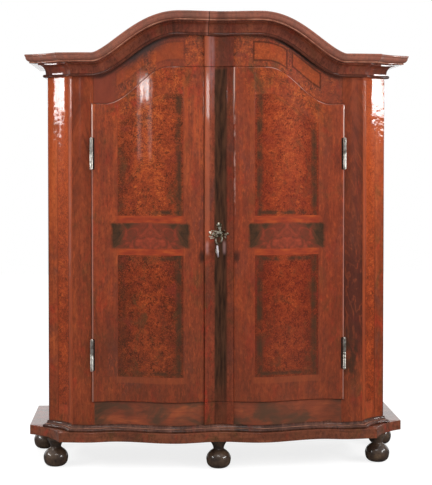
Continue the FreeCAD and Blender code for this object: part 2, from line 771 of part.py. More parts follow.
def door(name, side):
    """Frame and flush panels of one door, made on the right and mirrored for the left."""
    inner = STRIP_EDGE if side > 0 else STRIP_EDGE + DOOR_GAP
    lock_edge = STRIP_EDGE + DOOR_GAP + LOCK_STILE_WIDTH
    hinge_edge = DOOR_EDGE - HINGE_STILE_WIDTH
    rail_foot = DOOR_BOTTOM + MID_RAIL_FOOT
    rail_top = rail_foot + MID_RAIL_HEIGHT
    bottom_top = DOOR_BOTTOM + BOTTOM_RAIL_WIDTH

    def field_top(x):
        share = (abs(x) - lock_edge) / (hinge_edge - lock_edge)
        return door_arch(x) - TOP_RAIL_AT_LOCK - (TOP_RAIL_AT_HINGE - TOP_RAIL_AT_LOCK) * share

    hinge_stile = door_piece(hinge_edge, DOOR_EDGE, DOOR_BOTTOM, door_arch)
    for middle in hinge_heights():
        hinge_stile = hinge_stile.cut(door_leaf(middle, spare=0.1))
    pieces = {
        "hinge_stile": hinge_stile,
        "lock_stile": door_piece(inner, lock_edge, DOOR_BOTTOM, door_arch),
        "top_rail": door_piece(lock_edge, hinge_edge, field_top, door_arch),
        "middle_rail": door_piece(lock_edge, hinge_edge, rail_foot, rail_top),
        "bottom_rail": door_piece(lock_edge, hinge_edge, DOOR_BOTTOM, bottom_top),
        "upper_panel": door_piece(
            lock_edge, hinge_edge, rail_top, lambda x: field_top(x) - SEAT, PANEL_THICKNESS
        ),
        "lower_panel": door_piece(lock_edge, hinge_edge, bottom_top, rail_foot, PANEL_THICKNESS),
    }
    return {f"{name}_door_{piece}": on_side(shape, side) for piece, shape in pieces.items()}


def keyhole(y0, y1, radius):
    return Part.makeCylinder(radius, y1 - y0, V(KEY_X, y0, KEY_Z), V(0, 1, 0))


def centre_strip():
    """The hollow strip that the right door carries, bored for the key."""
    strip = arched(-STRIP_EDGE, STRIP_EDGE, DOOR_BOTTOM, door_arch, lambda x: -strip_proud(x), DOOR_BACK)
    hole = keyhole(front_y(0) - 2 * STRIP_PROUD, front_y(0) + 2 * DOOR_BACK, KEYHOLE_RADIUS)
    return {"centre_strip": strip.cut(hole)}


def hinges():
    """Pin hinges: the lower knuckle with the pin on the frame, the upper one on the door."""
    x, y = hinge_axis()
    frame_halves, door_halves = [], []
    for middle in hinge_heights():
        low = V(x, y, middle - BARREL_LENGTH)
        knuckle = Part.makeCylinder(BARREL_RADIUS, BARREL_LENGTH, low)
        pin = Part.makeCylinder(PIN_RADIUS, 1.8 * BARREL_LENGTH, low)
        finial = Part.makeSphere(FINIAL_RADIUS, low)
        frame_halves.append(fused(knuckle, pin, finial, frame_leaf(middle)))
        seat = V(x, y, middle + BARREL_GAP)
        upper = Part.makeCylinder(BARREL_RADIUS, BARREL_LENGTH, seat)
        top_finial = Part.makeSphere(FINIAL_RADIUS, V(x, y, middle + BARREL_GAP + BARREL_LENGTH))
        bore = Part.makeCylinder(PIN_RADIUS + PIN_CLEARANCE, 0.85 * BARREL_LENGTH, seat)
        door_halves.append(fused(upper, top_finial, door_leaf(middle)).cut(bore))
    parts = {"hinge_frame_halves": Part.makeCompound([mirrored(half) for half in frame_halves] + frame_halves)}
    for name, side in SIDES:
        parts[f"{name}_door_hinge_halves"] = on_side(Part.makeCompound(door_halves), side)
    return parts


# ---------------------------------------------------------------- lock, key and bolts
def lock_front():
    """Y of the lock case's mounting face, just behind the strip's back."""
    return front_y(0, DOOR_BACK) + SEAT


def slide_axis():
    """(x, y) of the slide bolts on the left door's inside."""
    x = -(STRIP_EDGE + DOOR_GAP + SLIDE_OFFSET)
    nearest = abs(x) - SLIDE_WIDTH / 2 - SLIP
    y = front_y(nearest, FRAME_THICKNESS) + SLIDE_CLEARANCE + SLIDE_THICKNESS / 2
    return x, y


def lock():
    """Rim lock on the right door: hollow case, sliding bolt and key."""
    x0 = -STRIP_EDGE + LOCK_CASE_OVERHANG
    x1 = x0 + LOCK_CASE_WIDTH
    y0 = lock_front()
    y1 = y0 + LOCK_CASE_DEPTH
    z0 = KEY_Z - LOCK_CASE_HEIGHT / 2
    z1 = z0 + LOCK_CASE_HEIGHT
    wall = LOCK_CASE_WALL
    case = box(x0, x1, y0, y1, z0, z1).cut(
        box(x0 + wall, x1 - wall, y0 + wall, y1 - wall, z0 + wall, z1 - wall)
    )
    middle_y = (y0 + y1) / 2
    bolt_z = KEY_Z + BOLT_ABOVE_KEY
    half_y, half_z = BOLT_THICKNESS / 2, BOLT_HEIGHT / 2
    slot = box(
        x0 - 1, x0 + 2 * wall, middle_y - half_y - SLIP, middle_y + half_y + SLIP,
        bolt_z - half_z - SLIP, bolt_z + half_z + SLIP,
    )
    case = case.cut(slot).cut(keyhole(y0 - 1, y0 + 2 * wall, KEYHOLE_RADIUS))
    case = case.cut(keyhole(y1 - 2 * wall, y1 + 1, KEY_RADIUS + PIN_CLEARANCE))
    bolt = box(
        x0 + 0.5, x0 + 0.5 + BOLT_LENGTH, middle_y - half_y, middle_y + half_y, bolt_z - half_z, bolt_z + half_z
    )
    return {"lock_case": case, "lock_bolt": bolt, "key": key(y1)}


def key(tip_y):
    """A shank with a bit inside the case and a flat ring bow in front of the door."""
    face = front_y(0) - strip_proud(0) - SEAT - ESCUTCHEON_THICKNESS
    bow_y = face - KEY_REACH
    shank = Part.makeCylinder(KEY_RADIUS, tip_y - bow_y, V(KEY_X, bow_y, KEY_Z), V(0, 1, 0))
    outer = Part.Ellipse(V(0, 0, 0), BOW_HEIGHT / 2, BOW_LENGTH / 2).toShape()
    inner = Part.Ellipse(V(0, 0, 0), BOW_HEIGHT / 2 - BOW_RING, BOW_LENGTH / 2 - BOW_RING).toShape()
    ring = Part.Face([Part.Wire(outer), Part.Wire(inner)]).extrude(V(0, 0, BOW_THICKNESS))
    ring.translate(V(0, 0, -BOW_THICKNESS / 2))
    ring.rotate(V(0, 0, 0), V(0, 1, 0), 90)
    ring.translate(V(KEY_X, bow_y - BOW_LENGTH / 2 + BOW_RING / 2, KEY_Z))
    bit_y = lock_front() + LOCK_CASE_DEPTH / 2
    bit = box(
        KEY_X - BIT_THICKNESS / 2, KEY_X + BIT_THICKNESS / 2, bit_y - BIT_DEPTH / 2, bit_y + BIT_DEPTH / 2,
        KEY_Z - BIT_LENGTH, KEY_Z,
    )
    whole = fused(shank, ring, bit)
    whole.rotate(V(KEY_X, 0, KEY_Z), V(0, 1, 0), -KEY_TILT)
    return whole


def round_plate(x, z, radius):
    reach = 2 * BACK_Y
    return Part.makeCylinder(radius, 2 * reach, V(x, -reach, z), V(0, 1, 0))


def escutcheon():
    """A pierced cast plate bent to the strip: finial, two scrolls, a loop and a keyhole plate."""
    discs = [round_plate(x, KEY_Z + z, radius) for x, z, radius in ESCUTCHEON_DISCS]
    outline = discs[0].multiFuse(discs[1:])
    for x, z, radius in ESCUTCHEON_HOLES:
        outline = outline.cut(round_plate(x, KEY_Z + z, radius))
    outline = outline.cut(round_plate(KEY_X, KEY_Z, KEYHOLE_RADIUS))
    half = max(abs(x) + radius for x, _, radius in ESCUTCHEON_DISCS)
    sheet = front_prism(
        -half, half, DOOR_BOTTOM, DOOR_SIDE_TOP,
        lambda x: -strip_proud(x) - SEAT - ESCUTCHEON_THICKNESS,
        lambda x: -strip_proud(x) - SEAT,
    )
    return {"escutcheon": sheet.common(outline)}


def keepers():
    """Lock keeper and bolt guides on the left door, and the bolt keeper behind the frieze."""
    edge = -(STRIP_EDGE + DOOR_GAP + KEEPER_GAP)
    bolt_z = KEY_Z + BOLT_ABOVE_KEY
    middle_y = lock_front() + LOCK_CASE_DEPTH / 2
    half_y, half_z = BOLT_THICKNESS / 2 + SLIP, BOLT_HEIGHT / 2 + SLIP
    block = (
        (edge - KEEPER_WIDTH, edge),
        (front_y(edge, DOOR_BACK) + SEAT, middle_y + half_y + GUIDE_WALL),
        (bolt_z - KEEPER_HEIGHT / 2, bolt_z + KEEPER_HEIGHT / 2),
    )
    mouth = (block[0], (middle_y - half_y, middle_y + half_y), (bolt_z - half_z, bolt_z + half_z))
    parts = {"lock_keeper": Part.makeCompound(staple(block, mouth, axis=0))}

    x, y = slide_axis()
    near_x = abs(x) - GUIDE_WIDTH / 2
    rear = y + SLIDE_THICKNESS / 2 + SLIP + GUIDE_WALL

    def guide(z, seat):
        heights = (z, z + GUIDE_HEIGHT)
        outer = ((x - GUIDE_WIDTH / 2, x + GUIDE_WIDTH / 2), (front_y(near_x, seat) + SEAT, rear), heights)
        return staple(outer, (*slide_hole(), heights), axis=2)

    guides = []
    for z in guide_heights():
        guides += guide(z, DOOR_BACK)
    parts["bolt_guides"] = Part.makeCompound(guides)
    parts["bolt_keeper"] = Part.makeCompound(guide(door_arch(x) + DOOR_GAP + SLIDE_REST_GAP, FRAME_THICKNESS))
    return parts


def slide_ends():
    """Lower and upper end of the lower bolt, then of the upper one."""
    x, _ = slide_axis()
    low = DOOR_BOTTOM + SLIDE_REST_GAP
    high = door_arch(x) - SLIDE_REST_GAP
    return (low, low + SLIDE_LENGTH), (high - SLIDE_LENGTH, high)


def guide_heights():
    """Lower edge of each guide: two around each slide bolt."""
    found = []
    for low, high in slide_ends():
        found += [low + 0.12 * SLIDE_LENGTH, high - 0.12 * SLIDE_LENGTH - GUIDE_HEIGHT]
    return found


def slide_bolts():
    """Flat bars, each with a turned knob riveted to its middle."""
    x, y = slide_axis()
    parts = {}
    for name, (low, high) in zip(("bottom_bolt", "top_bolt"), slide_ends()):
        bar = box(
            x - SLIDE_WIDTH / 2, x + SLIDE_WIDTH / 2, y - SLIDE_THICKNESS / 2, y + SLIDE_THICKNESS / 2, low, high
        )
        seat = V(x, y + SLIDE_THICKNESS / 2, (low + high) / 2)
        stem = Part.makeCylinder(0.5 * KNOB_RADIUS, KNOB_LENGTH, seat, V(0, 1, 0))
        ball = Part.makeSphere(KNOB_RADIUS, seat + V(0, KNOB_LENGTH, 0))
        parts[name] = Part.makeCompound([bar, fused(stem, ball)])
    return parts


# ---------------------------------------------------------------- everything
def model():
    parts = {}
    for group in (
        feet, plinth, base_moulding, corner_posts, carcase_frame, fixed_strips, cornice,
        centre_strip, hinges, lock, escutcheon, keepers, slide_bolts,
    ):
        parts.update(group())
    for name, side in SIDES:
        parts.update(door(name, side))
    return parts


def main():
    os.makedirs("parts", exist_ok=True)
    for name, shape in model().items():
        shape.exportStep(os.path.join("parts", name + ".step"))


if __name__ == "__main__":
    main()
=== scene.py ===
"""A baroque kas cupboard: veneered case, two arched doors, moulded cornice and turned ball feet.

The forms repeat the case's own curves in metres, so that every visible piece lies on the solid
that it stands for. Finishes are procedural and read object coordinates. Colours are written as
display values from 0 to 255.
"""
from __future__ import annotations

import logging
import math
from dataclasses import dataclass, field
from enum import Enum
from typing import Any, Callable, Iterable, Sequence, Union

import bmesh
import bpy
from mathutils import Matrix, Vector


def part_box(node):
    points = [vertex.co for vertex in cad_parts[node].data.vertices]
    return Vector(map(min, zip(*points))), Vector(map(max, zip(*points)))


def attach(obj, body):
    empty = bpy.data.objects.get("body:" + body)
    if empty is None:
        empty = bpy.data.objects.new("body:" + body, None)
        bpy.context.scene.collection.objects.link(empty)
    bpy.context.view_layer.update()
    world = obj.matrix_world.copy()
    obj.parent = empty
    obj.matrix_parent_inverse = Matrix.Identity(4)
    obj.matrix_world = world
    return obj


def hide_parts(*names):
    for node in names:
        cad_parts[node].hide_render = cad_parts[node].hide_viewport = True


log = logging.getLogger("kas")
Height = Union[float, Callable[[float], float]]
Colour = tuple[float, float, float]
Pair = tuple[float, float]
SIDES: tuple[tuple[str, int], ...] = (("left", -1), ("right", 1))
STRIP_CREASE, MOULDED_CREASE, BOARD_CREASE, TURNED_CREASE = 24.0, 28.0, 32.0, 40.0


# ---------------------------------------------------------------- the case's own curves
def ease(share: float) -> float:
    """Half a cosine from 0 to 1, level at both ends."""
    return (1 - math.cos(math.pi * min(max(share, 0.0), 1.0))) / 2


@dataclass(frozen=True)
class Arch:
    """A level edge that rises over the middle of the front, in metres."""

    spring: float
    crown: float
    base: float
    rise: float
    fullness: float = 0.0

    def __call__(self, x: float) -> float:
        """Height at x."""
        share = min(max((self.spring - abs(x)) / (self.spring - self.crown), 0.0), 1.0)
        return self.base + self.rise * ease(share + share * (1 - share) * self.fullness)

    def shaded(self, half: Term) -> Term:
        """The height in a shader.

        Args:
            half: distance from the middle.

        Returns:
            The height.
        """
        share = ((self.spring - half) * (1.0 / (self.spring - self.crown))).most(0.0).least(1.0)
        share = share + share * (1.0 - share) * self.fullness
        return (1.0 - half.tree.math("COSINE", share * math.pi)) * (self.rise / 2) + self.base


@dataclass(frozen=True)
class CasePlan:
    """Sizes and curves shared by the case, the doors and the mouldings, in metres."""

    half_front: float = 0.706
    half_width: float = 0.831
    mitre_y: float = -0.211
    cant_back_y: float = -0.103
    back_y: float = 0.373
    cant_hollow: float = 0.021
    opening_edge: float = 0.614
    door_edge: float = 0.612
    door_gap: float = 0.002
    strip_edge: float = 0.070
    fillet_edge: float = 0.061
    plinth_half: float = 0.927
    plinth_mitre: float = 0.772
    plinth_y: float = -0.252
    plinth_corner_y: float = -0.072
    plinth_hollow: float = 0.024
    foot_height: float = 0.138
    plinth_top: float = 0.185
    moulding_top: float = 0.216
    door_bottom: float = 0.327
    case_top: float = 1.977
    hinge_heights: Pair = (0.555, 1.527)
    key_z: float = 1.059
    key_x: float = -0.008
    seat: float = 0.0003
    door_arch: Arch = Arch(0.550, 0.235, 1.767, 0.176)
    cornice_arch: Arch = Arch(0.610, 0.190, 1.897, 0.195, 0.20)
    roof_arch: Arch = Arch(0.600, 0.195, 1.977, 0.195)
    swells: tuple[Pair, ...] = ((0.0, 0.030), (0.28, 0.058), (0.72, 0.0), (0.89, 0.012), (1.0, 0.0))

    def swell(self, x: float, mitre_x: float = 0.706) -> float:
        """How far the serpentine front stands forward of its mitre line.

        Args:
            x: place across the front.
            mitre_x: where the front ends.

        Returns:
            The distance in metres.
        """
        nodes = [(share * self.half_front, out) for share, out in self.swells[:-1]] + [(mitre_x, 0.0)]
        distance = min(abs(x), mitre_x)
        for (x0, s0), (x1, s1) in zip(nodes, nodes[1:]):
            if distance <= x1:
                return s0 + (s1 - s0) * ease((distance - x0) / (x1 - x0))
        return nodes[-1][1]

    def front_y(self, x: float) -> float:
        """Y of the case's front at x."""
        return self.mitre_y - self.swell(x)

    def strip_proud(self, x: float) -> float:
        """How far the hollow middle strip stands in front of the case's front at x."""
        hollow = max(0.0, 1 - (x / self.fillet_edge) ** 2)
        return 0.014 - 0.010 * hollow

    def arc(self, start: Vector, end: Vector, hollow: float, count: int) -> list[Vector]:
        """Points of a hollow arc in plan.

        Args:
            start: first end.
            end: last end.
            hollow: depth of the arc behind its chord.
            count: number of steps.

        Returns:
            count + 1 points from start to end.
        """
        centre = self.arc_centre(start, end, hollow)
        first, last = start - centre, end - centre
        turn = math.atan2(last.y, last.x) - math.atan2(first.y, first.x)
        turn = (turn + math.pi) % (2 * math.pi) - math.pi
        return [centre + Matrix.Rotation(turn * i / count, 3, "Z") @ first for i in range(count + 1)]

    def arc_centre(self, start: Vector, end: Vector, hollow: float) -> Vector:
        """Centre of a hollow arc.

        Args:
            start: first end.
            end: last end.
            hollow: depth of the arc behind its chord.

        Returns:
            The centre in plan.
        """
        chord = end - start
        inward = Vector((-chord.y, chord.x, 0)).normalized()
        radius = ((chord.length / 2) ** 2 + hollow ** 2) / (2 * hollow)
        return (start + end) / 2 + inward * (hollow - radius)

    @property
    def corner_ends(self) -> tuple[Vector, Vector]:
        """Front and rear end of the right hollow corner in plan."""
        return Vector((self.half_front, self.mitre_y, 0)), Vector((self.half_width, self.cant_back_y, 0))

    def corner(self, count: int = 20) -> list[Vector]:
        """The case's right hollow corner in plan, from front to side."""
        return self.arc(*self.corner_ends, self.cant_hollow, count)

    def mitres(self) -> list[Vector]:
        """Outward vectors of a moulding at the front and rear mitres of the corner."""
        centre = self.arc_centre(*self.corner_ends, self.cant_hollow)
        found = []
        for place, neighbour in zip(self.corner_ends, (Vector((0, -1, 0)), Vector((1, 0, 0)))):
            normal = (centre - place).normalized()
            found.append((normal + neighbour) / (1 + normal.dot(neighbour)))
        return found


PLAN = CasePlan()


# ---------------------------------------------------------------- meshes
def at(height: Height, x: float) -> float:
    """The value of a number or of a function of x."""
    return height(x) if callable(height) else height


def spread(start: float, end: float, step: float) -> list[float]:
    """Evenly spaced places from start to end, both included."""
    count = max(2, math.ceil(abs(end - start) / step))
    return [start + (end - start) * i / count for i in range(count + 1)]


def flipped(points: Iterable[Vector]) -> list[Vector]:
    """The points on the other side of the middle."""
    return [Vector((-p.x, p.y, p.z)) for p in points]


def rounded(low: float, high: float, radii: Pair, hold: float = 0.0012, steps: int = 4) -> list[Pair]:
    """Places across a board with both arrises rounded.

    Args:
        low: one edge.
        high: the other edge.
        radii: radius of the arris at each edge.
        hold: distance from each arris to a place that keeps the flat face flat.
        steps: steps in each arris.

    Returns:
        (place, depth behind the face) pairs from low to high.
    """
    hold = min(hold, abs(high - low) / 8)
    sides = []
    for radius in radii:
        r = min(radius, abs(high - low) / 3)
        angles = [math.pi / 2 * i / steps for i in range(steps + 1)]
        sides.append([(r * (1 - math.cos(a)), r * (1 - math.sin(a))) for a in angles] + [(r + hold, 0.0)])
    return [(low + p, d) for p, d in sides[0]] + [(high - p, d) for p, d in reversed(sides[1])]


def smooth_line(points: Sequence[Vector], step: float) -> list[Vector]:
    """A smooth line through points.

    Args:
        points: points to pass through.
        step: longest distance between two places.

    Returns:
        The line's points.
    """
    found = []
    padded = [points[0] * 2 - points[1], *points, points[-1] * 2 - points[-2]]
    for a, b, c, d in zip(padded, padded[1:], padded[2:], padded[3:]):
        count = max(2, math.ceil((c - b).length / step))
        bend, twist = 2 * a - 5 * b + 4 * c - d, 3 * b - a - 3 * c + d
        for t in (i / count for i in range(count)):
            found.append(0.5 * (2 * b + (c - a) * t + bend * t ** 2 + twist * t ** 3))
    return found + [points[-1]]


def turned(profile: Sequence[Pair], step: float) -> list[Pair]:
    """The (radius, height) points of a profile, smoothed."""
    return [(p.x, p.z) for p in smooth_line([Vector((r, 0, z)) for r, z in profile], step)]


@dataclass
class Shell:
    """Points and faces of one piece, gathered before its mesh is made."""

    points: list[Vector] = field(default_factory=list)
    faces: list[tuple[int, ...]] = field(default_factory=list)
    marks: list[int] = field(default_factory=list)
    sweep: list[Vector] = field(default_factory=list)

    def loft(self, rings: Sequence[Sequence[Vector]], inner: Iterable[int] = (), loop: bool = False) -> Shell:
        """Skin closed rings of equal length.

        Args:
            rings: the rings in order.
            inner: sides of each ring that take the second finish.
            loop: whether the last ring joins the first; otherwise both are capped.

        Returns:
            The same shell.
        """
        start, size, second = len(self.points), len(rings[0]), set(inner)
        for ring in rings:
            self.points.extend(ring)
        last = len(rings) if loop else len(rings) - 1
        for i in range(last):
            a, b = start + i * size, start + (i + 1) % len(rings) * size
            for j in range(size):
                k = (j + 1) % size
                self.faces.append((a + j, a + k, b + k, b + j))
                self.marks.append(1 if j in second else 0)
        if not loop:
            self.faces.extend(tuple(range(first, first + size)) for first in (start, start + last * size))
            self.marks.extend((0, 0))
        return self

    def lathe(self, profile: Sequence[Pair], centre: Vector, steps: int) -> Shell:
        """Turn a profile round a vertical axis.

        Args:
            profile: (radius, height) points.
            centre: where the axis stands.
            steps: stations round it.

        Returns:
            The same shell.
        """
        rings = []
        for angle in (2 * math.pi * i / steps for i in range(steps)):
            rings.append([centre + Vector((r * math.cos(angle), r * math.sin(angle), z)) for r, z in profile])
        return self.loft(rings, loop=True)

    def add(self, other: Shell) -> Shell:
        """Take in another shell.

        Args:
            other: the shell that is taken in.

        Returns:
            The same shell.
        """
        start = len(self.points)
        self.points.extend(other.points)
        self.faces.extend(tuple(i + start for i in face) for face in other.faces)
        self.marks.extend(other.marks)
        self.sweep.extend(other.sweep)
        return self

    def on_side(self, side: int) -> Shell:
        """A shell made for the right, on the side asked for."""
        return self if side > 0 else Shell(flipped(self.points), self.faces, self.marks, self.sweep)

    def piece(
        self, name: str, finishes: Sequence[Finish], slot: str, replaces: Sequence[str],
        crease: float = BOARD_CREASE, body: str = "carcase",
    ) -> bpy.types.Object:
        """Make the object, dress it and hang it on its body.

        Args:
            name: the piece's name.
            finishes: outer finish, then the inner one where there is one.
            slot: the record's material slot.
            replaces: nodes that it stands for.
            crease: angle in degrees from which an edge stays sharp.
            body: the moving body that carries it.

        Returns:
            The finished object.
        """
        mesh = bpy.data.meshes.new(name)
        mesh.from_pydata([tuple(p) for p in self.points], [], self.faces)
        for polygon, mark in zip(mesh.polygons, self.marks):
            polygon.material_index = min(mark, len(finishes) - 1)
            polygon.use_smooth = True
        if self.sweep:
            lengths = mesh.attributes.new("sweep", "FLOAT_VECTOR", "POINT")
            lengths.data.foreach_set("vector", [value for place in self.sweep for value in place])
        work = bmesh.new()
        work.from_mesh(mesh)
        bmesh.ops.remove_doubles(work, verts=work.verts, dist=2e-6)
        bmesh.ops.dissolve_degenerate(work, edges=work.edges, dist=1e-6)
        bmesh.ops.recalc_face_normals(work, faces=work.faces)
        work.to_mesh(mesh)
        work.free()
        for finish in finishes:
            mesh.materials.append(finish.material())
        mesh.set_sharp_from_angle(angle=math.radians(crease))
        return hang(bpy.data.objects.new(name, mesh), body, slot, replaces)


def both_sides(slot: str, crease: float, *parts: tuple[Shell, str, Sequence[Finish], str]) -> None:
    """Make the left pieces of the case, then the right ones.

    Args:
        slot: the record's material slot.
        crease: angle in degrees from which an edge stays sharp.
        parts: the right shell, the name, the finishes and the node of each piece.
    """
    for word, side in SIDES:
        for shell, name, finishes, node in parts:
            shell.on_side(side).piece(f"{name}_{word}", finishes, slot, (f"{node}_{word}",), crease)


def show(piece: bpy.types.Object) -> bpy.types.Object:
    """Link an object to the scene."""
    bpy.context.scene.collection.objects.link(piece)
    return piece


def hang(piece: bpy.types.Object, body: str, slot: str, replaces: Sequence[str] = ()) -> bpy.types.Object:
    """Link a finished object, hang it on its body and report it.

    Args:
        piece: the object.
        body: the moving body that carries it.
        slot: the record's material slot; not used.
        replaces: nodes that it stands for.

    Returns:
        The same object.
    """
    show(piece)
    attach(piece, body)
    if replaces:
        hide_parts(*replaces)
    log.info("%s on %s, %d faces", piece.name, body, len(piece.data.polygons))
    return piece


def evaluated(rough: bpy.types.Object) -> bpy.types.Mesh:
    """Plain mesh of a linked object with its modifiers.

    Args:
        rough: the object, which is removed.

    Returns:
        The mesh.
    """
    graph = bpy.context.evaluated_depsgraph_get()
    mesh = bpy.data.meshes.new_from_object(rough.evaluated_get(graph))
    bpy.data.objects.remove(rough)
    return mesh


def front_board(
    ends: Pair, low: Height, high: Height, near: Height, far: float, radii: Sequence[float], step: float = 0.008,
    breaks: Sequence[float] = (),
) -> Shell:
    """A board that follows the serpentine front, with rounded arrises.

    Args:
        ends: its two ends in x.
        low: lower edge.
        high: upper edge.
        near: depth of its face behind the case's front; below 0 is proud.
        far: depth of its back.
        radii: radii of the arrises at the two ends, below and above.
        step: longest distance between stations.
        breaks: places where the face turns sharply.

    Returns:
        The shell; its back takes the second finish.
    """
    edges = rounded(*ends, radii[:2])
    middle = len(edges) // 2
    inside = spread(edges[middle - 1][0], edges[middle][0], step)[1:-1]
    sharp = [b + d for b in breaks for d in (-0.0004, 0.0004) if ends[0] < b < ends[1]]
    rings = []
    for x, back_off in sorted(edges + [(x, 0.0) for x in inside + sharp]):
        face, rear = PLAN.front_y(x) + at(near, x), PLAN.front_y(x) + far
        ring = [Vector((x, face + max(d, back_off), z)) for z, d in rounded(at(low, x), at(high, x), radii[2:])]
        rings.append(ring + [Vector((x, rear, at(high, x))), Vector((x, rear, at(low, x)))])
    return Shell().loft(rings, inner=[len(rings[0]) - 2])


# ---------------------------------------------------------------- shader sums
class Term:
    """A shader value or vector that takes part in Python sums."""

    def __init__(self, tree: Tree, socket: bpy.types.NodeSocket) -> None:
        """Wrap an output socket of a tree."""
        self.tree = tree
        self.socket = socket

    def __add__(self, other: Any) -> Term:
        """Sum."""
        return self.tree.math("ADD", self, other)

    __radd__ = __add__

    def __sub__(self, other: Any) -> Term:
        """Difference."""
        return self.tree.math("SUBTRACT", self, other)

    def __rsub__(self, other: Any) -> Term:
        """Reflected difference."""
        return self.tree.math("SUBTRACT", other, self)

    def __mul__(self, other: Any) -> Term:
        """Product."""
        return self.tree.math("MULTIPLY", self, other)

    __rmul__ = __mul__

    def __truediv__(self, other: Any) -> Term:
        """Quotient."""
        return self.tree.math("DIVIDE", self, other)

    def __abs__(self) -> Term:
        """Size without sign."""
        return self.tree.math("ABSOLUTE", self)

    def sin(self) -> Term:
        """Sine."""
        return self.tree.math("SINE", self)

    def least(self, other: Any) -> Term:
        """The smaller of two."""
        return self.tree.math("MINIMUM", self, other)

    def most(self, other: Any) -> Term:
        """The larger of two."""
        return self.tree.math("MAXIMUM", self, other)

    def rise(self, low: float, high: float) -> Term:
        """A smooth step from 0 to 1.

        Args:
            low: value at which it starts.
            high: value at which it is 1; below low, it falls instead.

        Returns:
            The smooth step.
        """
        inputs = {"Value": self, "From Min": min(low, high), "From Max": max(low, high)}
        if low > high:
            inputs |= {"To Min": 1.0, "To Max": 0.0}
        return self.tree.get("ShaderNodeMapRange", "Result", {"interpolation_type": "SMOOTHSTEP"}, inputs)

    def band(self, low: float, high: float, soft: float) -> Term:
        """1 from low to high, with soft edges."""
        return self.rise(low - soft, low + soft) * self.rise(high + soft, high - soft)


def linear(colour: Colour) -> tuple[float, ...]:
    """A colour of display values as a shader holds it, opaque."""
    shares = [value / 255 for value in colour]
    return (*(s / 12.92 if s <= 0.04045 else ((s + 0.055) / 1.055) ** 2.4 for s in shares), 1.0)


class Grain(Enum):
    """Which way the wood's fibres run: the axes along them, across them and through the board."""

    UP = "zxy"
    ACROSS = "xzy"
    BACK = "yxz"
    FLAT = "xyz"


